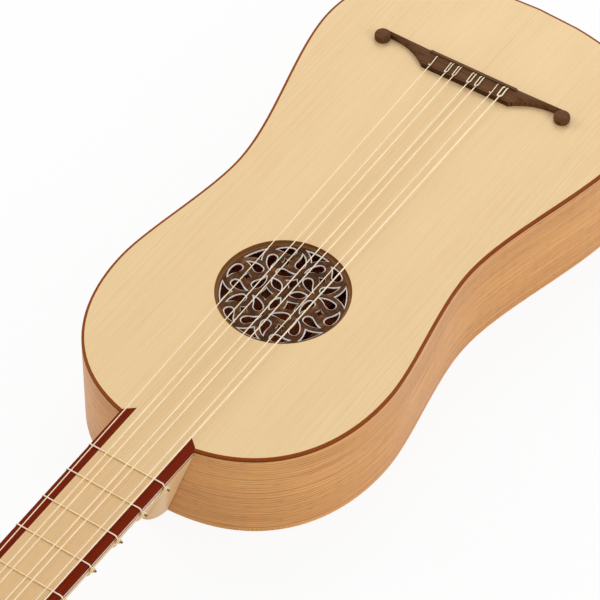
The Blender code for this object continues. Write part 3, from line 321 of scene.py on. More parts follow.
class GuitarColours(bpy.types.PropertyGroup):
    """Colours of the woods, cords and small parts, each with the colour of its darker grain."""
    spruce: colour_setting("Spruce", (0.80, 0.585, 0.315), "Early wood of the soundboard")
    spruce_grain: colour_setting("Spruce grain", (0.66, 0.42, 0.19), "Late wood of the soundboard")
    fruitwood: colour_setting("Ribs", (0.765, 0.385, 0.132), "Ribs and back")
    fruitwood_grain: colour_setting("Rib grain", (0.40, 0.165, 0.055), "Growth lines of ribs and back")
    maple: colour_setting("Maple", (0.76, 0.515, 0.262), "Neck, pegbox and fingerboard")
    maple_grain: colour_setting("Maple grain", (0.62, 0.38, 0.175), "Growth lines of the maple")
    trim: colour_setting("Dark trim", (0.200, 0.017, 0.002), "The fingerboard's edge strips and the pegs")
    binding: colour_setting("Binding", (0.265, 0.063, 0.003), "Binding round the soundboard")
    trim_grain: colour_setting("Trim grain", (0.045, 0.006, 0.002), "Dark lines of the trim")
    line: colour_setting("Neck line", (0.92, 0.66, 0.52), "Pale line under the fingerboard")
    walnut: colour_setting("Walnut", (0.140, 0.060, 0.022), "Bridge and rose")
    rose: colour_setting("Rose", (0.118, 0.045, 0.015), "Wood of the pierced rose")
    walnut_grain: colour_setting("Walnut grain", (0.030, 0.010, 0.005), "Dark lines and pores of the walnut")
    rim: colour_setting("Hole edge", (0.290, 0.125, 0.038), "Stained edge of the hole, and the rose's ring")
    inside: colour_setting("Inner back", (0.95, 0.25, 0.075), "Unvarnished inner face of the back")
    bare_wood: colour_setting("Bare wood", (0.42, 0.20, 0.085), "Bars, blocks and linings inside the body")
    parchment: colour_setting("Parchment", (1.0, 0.95, 0.91), "Backing of the rose")
    bone: colour_setting("Bone", (0.86, 0.80, 0.66), "Nut")
    string: colour_setting("String", (0.96, 0.82, 0.57), "Strings and their windings")
    gut: colour_setting("Fret gut", (1.0, 0.79, 0.43), "Cord of the tied frets")
    # Painted light: this paler gut colour is painted on the gut over the dark strips, for how the translucent
    # gut looks whiter in the light there
    gut_ends: colour_setting("Fret gut ends", (1.0, 0.80, 0.62), "Cord of the frets over the dark strips")
    burnt: colour_setting("Burnt gut", (0.030, 0.016, 0.008), "Ends of the fret knots")


class GuitarDetails(bpy.types.PropertyGroup):
    """Fineness of the drawn curves and sizes of the small work."""
    side_steps: bpy.props.IntProperty(
        name="Side steps", description="Straight steps in each quarter of a rib", default=28, min=8, max=80)
    cord_sides: bpy.props.IntProperty(
        name="Cord sides", description="Faces round a string or fret", default=12, min=6, max=32)
    peg_sides: bpy.props.IntProperty(
        name="Peg sides", description="Faces round a peg", default=32, min=12, max=64)
    edge_round: length_setting("Edge rounding", 0.0004, "Rounding of the worked edges")
    binding_round: length_setting("Binding rounding", 0.0006, "Rounding of the binding's outer edge")
    binding_line: length_setting("Binding line", 0.0006, "Dark line along the binding's lower edge")
    back_round: length_setting("Back rounding", 0.0010, "Rounding of the back's outer edge")
    line_width: length_setting("Neck line width", 0.0008, "Pale and dark lines under the fingerboard")
    heel_joint: length_setting("Heel joint", 0.0006, "Width of the dark glue line between heel and ribs")
    joint_line: length_setting("Centre joint", 0.0004, "Width of the glue line along the soundboard's middle")
    knot_length: length_setting("Fret knot length", 0.0032, "Length of a fret's knot")
    spruce_rings: length_setting("Spruce ring width", 0.00125, "Distance between the spruce's growth lines")
    fruitwood_rings: length_setting("Rib ring width", 0.0019, "Distance between the ribs' growth lines")
    sheen: share_setting("Varnish", 1.0, "Strength of the thin varnish on the woods")


class GuitarStudio(bpy.types.PropertyGroup):
    """Camera, lamps and floor."""
    camera_place: bpy.props.FloatVectorProperty(
        name="Camera place", description="In the plane of the soundboard, from the bridge line",
        default=(0.6347, -1.1251, 1.2828), size=3, subtype="TRANSLATION", unit="LENGTH")
    camera_aim: bpy.props.FloatVectorProperty(
        name="Camera aim", description="Turn to the side, pitch down and roll",
        default=tuple(math.radians(angle) for angle in (-33.74, 48.82, 0.44)), size=3,
        subtype="EULER", unit="ROTATION")
    lens: bpy.props.FloatProperty(
        name="Lens", description="Focal length in millimetres", default=183.5, min=10, max=400)
    key_power: bpy.props.FloatProperty(
        name="Key lamp", description="Power of the lamp behind the tail", default=14, min=0, unit="POWER")
    fill_power: bpy.props.FloatProperty(
        name="Fill lamp", description="Power of the lamp beside the camera", default=1.5, min=0, unit="POWER")
    side_power: bpy.props.FloatProperty(
        name="Side lamps", description="Power of both lamps beside the body", default=15.5,
        min=0, unit="POWER")
    sky: share_setting("Sky", 0.58, "Strength of the even light from all round")
    floor_size: length_setting("Floor", 8.0, "Side of the floor")


def colours():
    return bpy.context.scene.guitar_colours


def details():
    return bpy.context.scene.guitar_details


def studio():
    return bpy.context.scene.guitar_studio


# Shader and geometry trees

class Wiring:
    """Adds nodes to one tree and links them as they are made."""

    def __init__(self, tree):
        self.tree = tree

    def feed(self, socket, value):
        if isinstance(value, bpy.types.NodeSocket):
            self.tree.links.new(value, socket)
        elif value is not None:
            socket.default_value = value

    def add(self, kind, inputs=(), **settings):
        node = self.tree.nodes.new(kind)
        for key, value in settings.items():
            setattr(node, key, value)
        for key, value in dict(inputs).items():
            self.feed(node.inputs[key], value)
        return node

    def math(self, operation, a, b=None, c=None, clamp=False):
        node = self.add("ShaderNodeMath", {0: a, 1: b, 2: c}, operation=operation, use_clamp=clamp)
        return node.outputs[0]

    def place(self):
        """Coordinates in the model's metres."""
        return self.add("ShaderNodeTexCoord").outputs["Object"]

    def parts(self, vector):
        """The three numbers of a vector."""
        return self.add("ShaderNodeSeparateXYZ", {0: vector}).outputs

    def vector(self, x=None, y=None, z=None):
        return self.add("ShaderNodeCombineXYZ", {0: x, 1: y, 2: z}).outputs[0]

    def stretch(self, vector, amounts):
        """Multiplies each part of a vector by its own amount."""
        return self.add("ShaderNodeVectorMath", {0: vector, 1: amounts}, operation="MULTIPLY").outputs[0]

    def noise(self, vector, spots, detail=2.0):
        """Cloudy noise with so many spots in a metre along each direction."""
        inputs = {"Vector": self.stretch(vector, spots), "Scale": 1.0, "Detail": detail}
        return self.add("ShaderNodeTexNoise", inputs).outputs["Fac"]

    def span(self, value, low, high, out_low=0.0, out_high=1.0, way="SMOOTHSTEP"):
        """Maps low..high onto out_low..out_high and stays within these ends."""
        inputs = {0: value, 1: low, 2: high, 3: out_low, 4: out_high}
        return self.add("ShaderNodeMapRange", inputs, interpolation_type=way).outputs[0]

    def mix(self, factor, a, b):
        node = self.add("ShaderNodeMix", {"Factor": factor}, data_type="RGBA")
        for key, value in (("A", a), ("B", b)):
            socket = next(s for s in node.inputs if s.name == key and s.type == "RGBA")
            self.feed(socket, value if isinstance(value, bpy.types.NodeSocket) else (*value, 1))
        return next(s for s in node.outputs if s.type == "RGBA")

    def emboss(self, shader, height, strength, distance):
        relief = self.add("ShaderNodeBump", {"Height": height, "Strength": strength, "Distance": distance})
        self.feed(shader.inputs["Normal"], relief.outputs[0])


def new_group(name, inputs, outputs, kind="ShaderNodeTree"):
    tree = bpy.data.node_groups.new(name, kind)
    for label, socket, default in inputs:
        item = tree.interface.new_socket(label, in_out="INPUT", socket_type=socket)
        if default is not None:
            item.default_value = default
    for label, socket in outputs:
        tree.interface.new_socket(label, in_out="OUTPUT", socket_type=socket)
    way_in = tree.nodes.new("NodeGroupInput")
    way_out = tree.nodes.new("NodeGroupOutput")
    return tree, way_in.outputs, way_out.inputs


# Spots in a metre of each noise: across the grain, along it and in depth
WANDER_SPOTS = (9, 1.6, 9)
DRIFT_SPOTS = (60, 0.4, 60)
BAND_SPOTS = (16, 0.3, 16)
TONE_SPOTS = (22, 2.2, 22)
FIBRE_SPOTS = (1100, 22, 1100)
PORE_SPOTS = (2300, 110, 2300)
BROAD_RUBBING_SPOTS = (35, 35, 35)
FINE_RUBBING_SPOTS = (400, 400, 400)
STAIN_SPOTS = (190, 190, 190)
PAPER_SPOTS = (300, 300, 300)


def wood_grain():
    """Growth lines counted across X, drawn out along Y, with fibres, pores and a slow change of tone."""
    if "wood_grain" in bpy.data.node_groups:
        return bpy.data.node_groups["wood_grain"]
    number = "NodeSocketFloat"
    tree, given, result = new_group("wood_grain", (
        ("Vector", "NodeSocketVector", None), ("Early Wood", "NodeSocketColor", (1, 1, 1, 1)),
        ("Late Wood", "NodeSocketColor", (0, 0, 0, 1)), ("Ring Width", number, 0.0015),
        ("Ring Drift", number, 3.0), ("Wander", number, 0.002), ("Rings", number, 0.5),
        ("Fibres", number, 0.3), ("Tone", number, 0.3), ("Pores", number, 0.2),
    ), (("Color", "NodeSocketColor"), ("Height", number)))
    w = Wiring(tree)
    place = given["Vector"]
    wander = w.math("MULTIPLY", w.math("SUBTRACT", w.noise(place, WANDER_SPOTS), 0.5), given["Wander"])
    ring = w.math("DIVIDE", w.math("ADD", w.parts(place)[0], wander), given["Ring Width"])
    drift = w.math("MULTIPLY", w.noise(place, DRIFT_SPOTS, 1.0), given["Ring Drift"])
    ring = w.math("ADD", ring, drift)
    saw = w.math("FRACT", ring)
    own = w.add("ShaderNodeTexWhiteNoise", {"W": w.math("FLOOR", ring)}, noise_dimensions="1D").outputs[0]
    late = w.math("MULTIPLY", w.span(saw, 0.45, 0.92), w.span(saw, 1.0, 0.94))
    strength = w.span(own, 0.0, 1.0, 0.35, 1.0)
    band = w.span(w.noise(place, BAND_SPOTS, 1.0), 0.35, 0.65, 0.45, 1.6)
    late = w.math("MULTIPLY", late, w.math("MULTIPLY", strength, band))
    fibre = w.math("SUBTRACT", w.noise(place, FIBRE_SPOTS, 3.0), 0.5)
    tone = w.math("SUBTRACT", w.noise(place, TONE_SPOTS, 3.0), 0.5)
    pore = w.span(w.noise(place, PORE_SPOTS, 1.0), 0.62, 0.74)
    shade = w.math("MULTIPLY", late, given["Rings"])
    shade = w.math("ADD", shade, w.math("MULTIPLY", fibre, given["Fibres"]))
    shade = w.math("ADD", shade, w.math("MULTIPLY", tone, given["Tone"]))
    shade = w.math("ADD", shade, 0.12, clamp=True)
    wood = w.mix(shade, given["Early Wood"], given["Late Wood"])
    deep = w.math("MULTIPLY", pore, given["Pores"])
    darker = w.mix(0.55, given["Late Wood"], (0.0, 0.0, 0.0))
    w.feed(result["Color"], w.mix(deep, wood, darker))
    height = w.math("SUBTRACT", w.math("MULTIPLY", late, 0.25), deep)
    w.feed(result["Height"], w.math("ADD", height, w.math("MULTIPLY", fibre, 0.3)))
    return tree


def hand_polish():
    """Roughness that changes slowly where a hand rubbed the varnish more or less."""
    if "hand_polish" in bpy.data.node_groups:
        return bpy.data.node_groups["hand_polish"]
    tree, given, result = new_group("hand_polish", (
        ("Vector", "NodeSocketVector", None), ("Least", "NodeSocketFloat", 0.3),
        ("Most", "NodeSocketFloat", 0.5),
    ), (("Roughness", "NodeSocketFloat"),))
    w = Wiring(tree)
    broad = w.noise(given["Vector"], BROAD_RUBBING_SPOTS, 3.0)
    fine = w.noise(given["Vector"], FINE_RUBBING_SPOTS)
    blend = w.math("ADD", w.math("MULTIPLY", broad, 0.7), w.math("MULTIPLY", fine, 0.3))
    w.feed(result["Roughness"], w.span(blend, 0.3, 0.7, given["Least"], given["Most"], "LINEAR"))
    return tree


# Finishes

GRAIN = ("Ring Width", "Ring Drift", "Wander", "Rings", "Fibres", "Tone", "Pores")


def new_coat(name):
    coat = bpy.data.materials.new(f"{name}_finish")
    coat.use_nodes = True
    return coat, Wiring(coat.node_tree), coat.node_tree.nodes["Principled BSDF"]


def grain_vector(w, way):
    """Coordinates with the grain along Y: along a bent side, or set by the soundboard's plane."""
    if way == "side":
        side = w.parts(w.add("ShaderNodeUVMap", uv_map="side").outputs[0])
        return w.vector(side[1], side[0])
    inputs = {"Vector": w.place(), "Location": FACE.inverted().translation, "Rotation": (-TILT, 0, 0)}
    turned = w.add("ShaderNodeMapping", inputs).outputs[0]
    if way == "flat":
        return turned
    across, along, depth = w.parts(turned)
    if way == "matched":
        return w.vector(w.math("ABSOLUTE", across), along, depth)
    if way == "crosswise":
        return w.vector(along, across, depth)
    return w.vector(depth, along, across)


def woods():
    """Each wood's way of the grain, early and late wood, GRAIN values, roughness, relief and gloss."""
    c = colours()
    spruce, rib = details().spruce_rings, details().fruitwood_rings
    maple = (0.0026, 3.0, 0.004, 0.30, 0.35, 0.30, 0.10)
    return {
        "spruce": ("matched", c.spruce, c.spruce_grain, (spruce, 5.0, 0.0012, 0.48, 0.60, 0.40, 0.10),
                   (0.45, 0.60), 0.00003, (0.25, 0.05)),
        "rib_wood": ("side", c.fruitwood, c.fruitwood_grain, (rib, 4.0, 0.012, 1.40, 1.35, 1.30, 0.55),
                     (0.38, 0.52), 0.00003, (0.18, 0.05)),
        "back_wood": ("matched", c.fruitwood, c.fruitwood_grain, (rib, 4.0, 0.014, 0.45, 0.80, 0.80, 0.25),
                      (0.38, 0.52), 0.00003, (0.18, 0.05)),
        "back_inside": ("matched", c.inside, shaded(c.inside, 0.45),
                        (rib, 4.0, 0.014, 0.45, 0.50, 0.50, 0.25), (0.60, 0.75), 0.00003, (0.12, 0.0)),
        "neck_maple": ("quartered", c.maple, c.maple_grain, maple, (0.34, 0.46), 0.00002, (0.20, 0.08)),
        "neck_lines": ("quartered", c.maple, c.maple_grain, maple, (0.34, 0.46), 0.00002, (0.30, 0.10)),
        "board_maple": ("flat", c.maple, c.maple_grain, (0.0016, 4.0, 0.003, 0.28, 0.45, 0.40, 0.22),
                        (0.36, 0.50), 0.00002, (0.18, 0.05)),
        "dark_trim": ("flat", c.trim, c.trim_grain, (0.0011, 3.0, 0.002, 0.55, 0.60, 0.40, 0.35),
                      (0.45, 0.60), 0.00002, (0.03, 0.0)),
        "binding_wood": ("flat", c.binding, c.trim, (0.0008, 3.0, 0.002, 0.60, 0.80, 0.80, 0.20),
                         (0.40, 0.55), 0.00002, (0.08, 0.0)),
        "peg_wood": ("crosswise", c.trim, c.trim_grain, (0.0010, 3.0, 0.003, 0.55, 0.60, 0.40, 0.35),
                     (0.22, 0.34), 0.00002, (0.25, 0.15)),
        "bridge_walnut": ("crosswise", c.walnut, c.walnut_grain, (0.0015, 3.0, 0.004, 0.85, 1.40, 0.70, 0.60),
                          (0.45, 0.60), 0.00005, (0.08, 0.0)),
        "rose_walnut": ("flat", c.rose, c.walnut_grain, (0.0018, 3.0, 0.003, 0.55, 1.30, 1.40, 0.40),
                        (0.50, 0.65), 0.00004, (0.06, 0.0)),
        "rim_wood": ("flat", c.rim, c.walnut, (0.0012, 3.0, 0.002, 0.45, 0.60, 0.50, 0.30),
                     (0.55, 0.70), 0.00003, (0.12, 0.0)),
        "bare_wood": ("flat", c.bare_wood, c.walnut, (0.0018, 4.0, 0.003, 0.35, 0.45, 0.40, 0.15),
                      (0.65, 0.80), 0.00004, (0.15, 0.0)),
    }


def plain_materials():
    """Each plain material's colour, darker share, spots in a metre, roughness, relief and coat."""
    c = colours()
    return {
        "parchment": (c.parchment, 0.86, (700, 700, 700), (0.6, 0.8), 0.00002, 0.0),
        "bone": (c.bone, 0.90, (500, 90, 500), (0.2, 0.35), 0.00001, 0.0),
        "string": (c.string, 0.92, (300, 60, 300), (0.25, 0.40), 0.00001, 0.3),
        "gut": (c.gut, 0.88, (600, 600, 600), (0.3, 0.45), 0.00002, 0.0),
    }


def finish(name):
    """The named finish with what is drawn over it, made once."""
    label = f"{name}_finish"
    if label not in bpy.data.materials:
        if name in woods():
            coat = wood_coat(name, *woods()[name])
        else:
            coat = mottled_coat(name, *plain_materials()[name])
        drawn = {"spruce": centre_joint, "rose_walnut": mottled_pale_ring, "binding_wood": binding_underline,
                 "neck_lines": neck_lines, "gut": gut_ends}
        if name in drawn:
            draw_over(coat, drawn[name])
    return bpy.data.materials[label]


def rub(w, shader, place, roughness):
    """Roughness between two values, as hand polish leaves it."""
    values = {"Vector": place, "Least": roughness[0], "Most": roughness[1]}
    polish = w.add("ShaderNodeGroup", values, node_tree=hand_polish())
    w.feed(shader.inputs["Roughness"], polish.outputs["Roughness"])


def wood_coat(name, way, early, late, grain, roughness, relief, gloss):
    """Wood with its own grain, fine relief and a thin varnish: its specular level and coat weight."""
    coat, w, shader = new_coat(name)
    place = grain_vector(w, way)
    values = {"Vector": place, "Early Wood": (*early, 1), "Late Wood": (*late, 1), **dict(zip(GRAIN, grain))}
    wood = w.add("ShaderNodeGroup", values, node_tree=wood_grain()).outputs
    w.feed(shader.inputs["Base Color"], wood["Color"])
    shader.inputs["Specular IOR Level"].default_value = gloss[0]
    shader.inputs["Coat Weight"].default_value = gloss[1] * details().sheen
    shader.inputs["Coat Roughness"].default_value = 0.25
    rub(w, shader, place, roughness)
    w.emboss(shader, wood["Height"], 0.35, relief)
    return coat


def shaded(colour, share):
    return tuple(value * share for value in colour)


def mottled_coat(name, colour, share, spots, roughness, relief, coat_weight):
    """Fine uneven material: a colour and its darker shade in soft cloudy spots."""
    coat, w, shader = new_coat(name)
    place = w.place()
    cloud = w.noise(place, spots, 4.0)
    w.feed(shader.inputs["Base Color"], w.mix(w.span(cloud, 0.35, 0.65), colour, shaded(colour, share)))
    shader.inputs["Coat Weight"].default_value = coat_weight
    rub(w, shader, place, roughness)
    w.emboss(shader, cloud, 0.3, relief)
    return coat


def draw_over(coat, layer):
    """Draws a layer over a finish: the layer takes the colour so far and gives the new one."""
    w = Wiring(coat.node_tree)
    base = coat.node_tree.nodes["Principled BSDF"].inputs["Base Color"]
    w.feed(base, layer(w, base.links[0].from_socket))


def centre_joint(w, wood):
    """The fine glue line between the two matched halves of the board."""
    across = w.parts(grain_vector(w, "matched"))[0]
    near = w.math("MULTIPLY", w.math("LESS_THAN", across, details().joint_line / 2), 0.45)
    return w.mix(near, wood, colours().spruce_grain)


def mottled_pale_ring(w, wood):
    """Uneven stain on the tracery, and its plain ring lighter, mixed towards the colour of the hole's edge.
    """
    c = colours()
    place = grain_vector(w, "flat")
    middle = w.add("ShaderNodeVectorMath", {0: place, 1: (0, -ROSE_Y, 0)}, operation="ADD").outputs[0]
    middle = w.stretch(middle, (1, 1, 0))
    reach = w.add("ShaderNodeVectorMath", {0: middle}, operation="LENGTH").outputs["Value"]
    stain = w.noise(place, STAIN_SPOTS, 3.0)
    wood = w.mix(w.span(stain, 0.52, 0.68, 0.0, 0.45), wood, c.rim)
    wood = w.mix(w.span(stain, 0.46, 0.32, 0.0, 0.60), wood, c.walnut_grain)
    # The plain ring beyond the openings is drawn lighter, towards the colour of the hole's edge
    ring = w.span(reach, ROSE_OPENING_RADIUS + 0.0002, ROSE_OPENING_RADIUS + 0.0010, 0.0, 0.75)
    return w.mix(ring, wood, c.rim)


def binding_underline(w, wood):
    """A dark line along the lower edge of the binding, where it meets the rib."""
    height = w.parts(grain_vector(w, "flat"))[2]
    low = w.math("LESS_THAN", height, details().binding_line - BINDING_HEIGHT)
    return w.mix(low, wood, colours().trim_grain)


def neck_lines(w, wood):
    """A pale and a dark line under the fingerboard, and the dark joint at the ribs."""
    c = colours()
    depth = w.math("SUBTRACT", NECK_TOP, w.parts(grain_vector(w, "flat"))[2])
    width = details().line_width
    wood = w.mix(w.math("LESS_THAN", depth, width * 2.1), wood, c.trim_grain)
    wood = w.mix(w.math("LESS_THAN", depth, width), wood, c.line)
    x, y, z = w.parts(w.place())
    rib = w.math("MULTIPLY", w.math("MULTIPLY", x, x), SHOULDER_BOW)
    gap = w.math("SUBTRACT", w.math("ADD", rib, NECK_JOIN_Y), y)
    near = w.math("MULTIPLY", w.math("LESS_THAN", gap, details().heel_joint), 0.8)
    return w.mix(near, wood, c.walnut)


def gut_ends(w, gut):
    """Gut painted paler on its upper side over the dark strips, a painted lightening for how the translucent
    gut looks whiter in the light there, and burnt dark where the mesh says so.
    """
    across, along, height = w.parts(grain_vector(w, "matched"))
    edge = FINGERBOARD_HALF_WIDTH - STRIP_WIDTH
    # Painted light: the gut's upper side over the dark strips is given the paler colour
    painted_light_over_strip = w.math("MULTIPLY", w.span(across, edge - 0.002, edge), w.span(height, -0.0008, 0.0))
    gut = w.mix(painted_light_over_strip, gut, colours().gut_ends)
    burn = w.add("ShaderNodeAttribute", attribute_name="burn").outputs["Fac"]
    return w.mix(burn, gut, colours().burnt)


# Meshes

def finish_mesh(name, bm):
    """Merges doubled points, turns the faces outwards and makes the plain mesh."""
    bmesh.ops.remove_doubles(bm, verts=bm.verts, dist=MERGE_DISTANCE)
    bmesh.ops.recalc_face_normals(bm, faces=bm.faces)
    mesh = bpy.data.meshes.new(name)
    bm.to_mesh(mesh)
    bm.free()
    return mesh


def cleaned(name, mesh):
    """The same mesh without doubled points and with its faces outwards."""
    bm = bmesh.new()
    bm.from_mesh(mesh)
    return finish_mesh(name, bm)


def link(name, data):
    item = bpy.data.objects.new(name, data)
    bpy.context.scene.collection.objects.link(item)
    return item


def settle(item):
    """Turns the object and its modifiers into a plain mesh."""
    drawn = item.evaluated_get(bpy.context.evaluated_depsgraph_get())
    mesh = bpy.data.meshes.new_from_object(drawn)
    name = item.name
    bpy.data.objects.remove(item)
    mesh.name = name
    return mesh


def rounded(mesh, width):
    """Rounds the sharp edges of a mesh."""
    item = link(mesh.name, mesh)
    step = item.modifiers.new("rounding", "BEVEL")
    step.width = width
    step.segments = 2
    step.limit_method = "ANGLE"
    step.angle_limit = math.radians(ROUNDED_FROM)
    return settle(item)


def cut(mesh, cutters, operation="DIFFERENCE"):
    """Cuts closed meshes out of a mesh, or joins them to it."""
    item = link(mesh.name, mesh)
    tools = []
    for number, cutter in enumerate(cutters):
        tool = link(f"{mesh.name}_tool_{number}", cutter)
        step = item.modifiers.new(f"cut_{number}", "BOOLEAN")
        step.operation = operation
        step.solver = "EXACT"
        step.object = tool
        tools.append(tool)
    result = settle(item)
    for tool in tools:
        bpy.data.objects.remove(tool)
    return result


def present(name, mesh, coats, body, node, on_face=True, crisp=SOLID_CRISP):
    """Puts a finished piece in the scene: its place, its finish, its body and the node it stands for."""
    if on_face:
        mesh.transform(FACE)
    mesh.materials.clear()
    for coat in coats:
        mesh.materials.append(finish(coat))
    mesh.shade_smooth()
    mesh.set_sharp_from_angle(angle=math.radians(crisp))
    item = link(name, mesh)
    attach(item, body)
    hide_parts(node)
    return item


def loft(bm, rings):
    """Skins closed rings of equal count, and closes both ends."""
    loops = [[bm.verts.new(point) for point in ring] for ring in rings]
    for near, far in zip(loops, loops[1:]):
        for i in range(len(near)):
            j = (i + 1) % len(near)
            bm.faces.new((near[i], near[j], far[j], far[i]))
    bm.faces.new(loops[0])
    bm.faces.new(list(reversed(loops[-1])))


def skin(name, rings):
    """Closed mesh through rings of equal count."""
    bm = bmesh.new()
    loft(bm, rings)
    return finish_mesh(name, bm)


def slab(name, outline, low, high):
    """Upright solid over a plan outline, between two heights."""
    return skin(name, [[Vector((x, y, z)) for x, y in outline] for z in (low, high)])


def bar(name, start, end, radius):
    """Round bar between two points of one plane along y and z."""
    along = (end - start).normalized()
    across = Vector((1, 0, 0)) if abs(along.x) < 0.9 else Vector((0, 1, 0))
    up = across.cross(along)
    ring = circle(radius, HOLE_SIDES)
    return skin(name, [[point + across * a + up * b for a, b in ring] for point in (start, end)])


def drawn_curve(name, lines, closed, dimensions="3D"):
    """Curve with a straight-sided spline through each line of points."""
    curve = bpy.data.curves.new(name, "CURVE")
    curve.dimensions = dimensions
    for line in lines:
        spline = curve.splines.new("POLY")
        spline.points.add(len(line) - 1)
        for point, spot in zip(spline.points, line):
            point.co = (*Vector(spot).to_3d(), 1)
        spline.use_cyclic_u = closed
    return curve


def plate(name, loops, thickness):
    """Flat plate under z = 0 with openings: the first closed loop is its edge, the rest are cut out."""
    curve = drawn_curve(name, loops, True, "2D")
    curve.fill_mode = "BOTH"
    curve.extrude = thickness / 2
    mesh = settle(link(name, curve))
    mesh.transform(Matrix.Translation((0, 0, -thickness / 2)))
    return cleaned(name, mesh)


def polar(reach, angle):
    return Vector((math.cos(angle), math.sin(angle))) * reach


def circle(radius, count):
    return [tuple(polar(radius, 2 * math.pi * i / count)) for i in range(count)]


def bezier(start, first, second, end, steps):
    """Points along a curve, without its end, each with the direction to its left."""
    points = []
    for i in range(steps):
        t = i / steps
        u = 1 - t
        spot = start * u ** 3 + first * 3 * u * u * t + second * 3 * u * t * t + end * t ** 3
        along = (first - start) * u * u + (second - first) * 2 * u * t + (end - second) * t * t
        along.normalize()
        points.append((spot, Vector((-along.y, along.x))))
    return points


def trace_side():
    """Half outline from the tail to the neck: points on the rib's outer face, with outward normals."""
    tail, lower, waist = Vector((0, TAIL_Y)), Vector(LOWER_BOUT), Vector(WAIST)
    upper, neck = Vector(UPPER_BOUT), Vector((0, NECK_JOIN_Y))
    ahead, out = Vector((0, -1)), Vector((1, 0))
    spans = (
        (tail, tail + out * TAIL_CURVE_LENGTH, lower - ahead * LOWER_BOUT_CURVE_LENGTH[0], lower),
        (lower, lower + ahead * LOWER_BOUT_CURVE_LENGTH[1], waist - ahead * WAIST_CURVE_LENGTH[0], waist),
        (waist, waist + ahead * WAIST_CURVE_LENGTH[1], upper - ahead * UPPER_BOUT_CURVE_LENGTH[0], upper),
        (upper, upper + ahead * UPPER_BOUT_CURVE_LENGTH[1], neck + out * SHOULDER_CURVE_LENGTH, neck),
    )
    side = []
    for span in spans:
        side += bezier(*span, details().side_steps)
    side.append((neck, Vector((0, -1))))
    return side


def side_between(x_tail, x_neck):
    """The half outline cut off at a distance from the centre line at each end."""
    kept = []
    side = trace_side()
    for (a, na), (b, nb) in zip(side, side[1:]):
        limit = x_tail if b.x > a.x else x_neck
        if min(a.x, b.x) < limit <= max(a.x, b.x):
            t = (limit - a.x) / (b.x - a.x)
            kept.append((a.lerp(b, t), na.lerp(nb, t).normalized()))
        widest = UPPER_BOUT[1] if b.x < a.x else TAIL_Y
        if b.x > (x_neck if b.y < widest else x_tail):
            kept.append((b, nb))
    return kept


def fingerboard_half(y):
    """Half width of the neck and fingerboard."""
    return FINGERBOARD_HALF_WIDTH + FINGERBOARD_TAPER * (y - fret_y(BOARD_END_FRET))


def fret_y(number):
    return -SCALE * 2 ** (-number / 12)


# Body

def board_outline():
    """Edge of the soundboard, with the tongue that runs up the neck between the dark strips."""
    corner = fingerboard_half(STRIP_CORNER_Y)
    right = []
    for point, normal in side_between(SEAM, corner + SEAM):
        p = point - normal * (BINDING_WIDTH + SEAM)
        right.append((p.x, p.y))
    mitre = (corner + SEAM, right[-1][1])
    tip = (fingerboard_half(STRIP_TIP_Y) - STRIP_WIDTH - SEAM, STRIP_TIP_Y + SEAM)
    end_y = fret_y(BOARD_END_FRET) + SEAM
    tongue = (fingerboard_half(end_y) - STRIP_WIDTH - SEAM, end_y)
    right = [p for p in right if p[1] > mitre[1]] + [mitre, tip, tongue]
    return right + [(-x, y) for x, y in reversed(right)]


def make_soundboard():
    hole = [(x, y + ROSE_Y) for x, y in circle(ROSE_HOLE_RADIUS, ROSE_EDGE_STEPS)]
    mesh = plate("top_board", [board_outline(), hole], BOARD)
    item = present("top_board", mesh, ("spruce", "rim_wood"), "guitar", "soundboard")
    centre = FACE @ Vector((0, ROSE_Y, -BOARD / 2))
    up = FACE.to_3x3() @ Vector((0, 0, 1))
    for face in item.data.polygons:
        near = (face.center - centre).length < ROSE_HOLE_RADIUS + AIR
        if near and abs(face.normal.dot(up)) < 0.5:
            face.material_index = 1


def binding_ring(point, normal, sign):
    """Square strip with its outer top edge rounded."""
    r = details().binding_round
    middle = r * BINDING_ROUND_SHARE
    profile = [(0, -BINDING_HEIGHT), (0, -r), (middle, -middle), (r, 0), (BINDING_WIDTH, 0),
               (BINDING_WIDTH, -BINDING_HEIGHT)]
    ring = []
    for inset, z in profile:
        p = point - normal * inset
        ring.append(Vector((sign * p.x, p.y, z)))
    return ring


def make_bindings():
    end = fingerboard_half(STRIP_CORNER_Y) + SEAM
    for side, sign in SIDES:
        name = f"edge_binding_{side}"
        mesh = skin(name, [binding_ring(point, normal, sign) for point, normal in side_between(SEAM, end)])
        present(name, mesh, ("binding_wood",), "guitar", f"binding_{side}")


def corner_key(corner):
    """A corner's place, the same for a vector and for the mesh's own copy of it."""
    return tuple(round(value, 6) for value in corner)


def make_ribs():
    """Bent sides, with a map of the length along the rib and the height for the grain."""
    for side, sign in SIDES:
        bm = bmesh.new()
        rings = []
        for point, normal in side_between(SEAM, SEAM):
            a, b = point, point - normal * RIB
            high_a, high_b = (TOP_AT_BRIDGE + p.y * SLOPE - (BINDING_HEIGHT + SEAM) for p in (a, b))
            rings.append([Vector((sign * a.x, a.y, BACK + SEAM)), Vector((sign * a.x, a.y, high_a)),
                          Vector((sign * b.x, b.y, high_b)), Vector((sign * b.x, b.y, BACK + SEAM))])
        loft(bm, rings)
        travelled = {}
        distance = 0.0
        for number, ring in enumerate(rings):
            distance += (ring[0] - rings[max(number - 1, 0)][0]).length
            for corner in ring:
                travelled[corner_key(corner)] = distance
        layer = bm.loops.layers.uv.new("side")
        for face in bm.faces:
            for loop in face.loops:
                loop[layer].uv = (sign * travelled[corner_key(loop.vert.co)], loop.vert.co.z)
        name = f"side_{side}"
        mesh = finish_mesh(name, bm)
        present(name, mesh, ("rib_wood",), "guitar", f"rib_{side}", on_face=False)


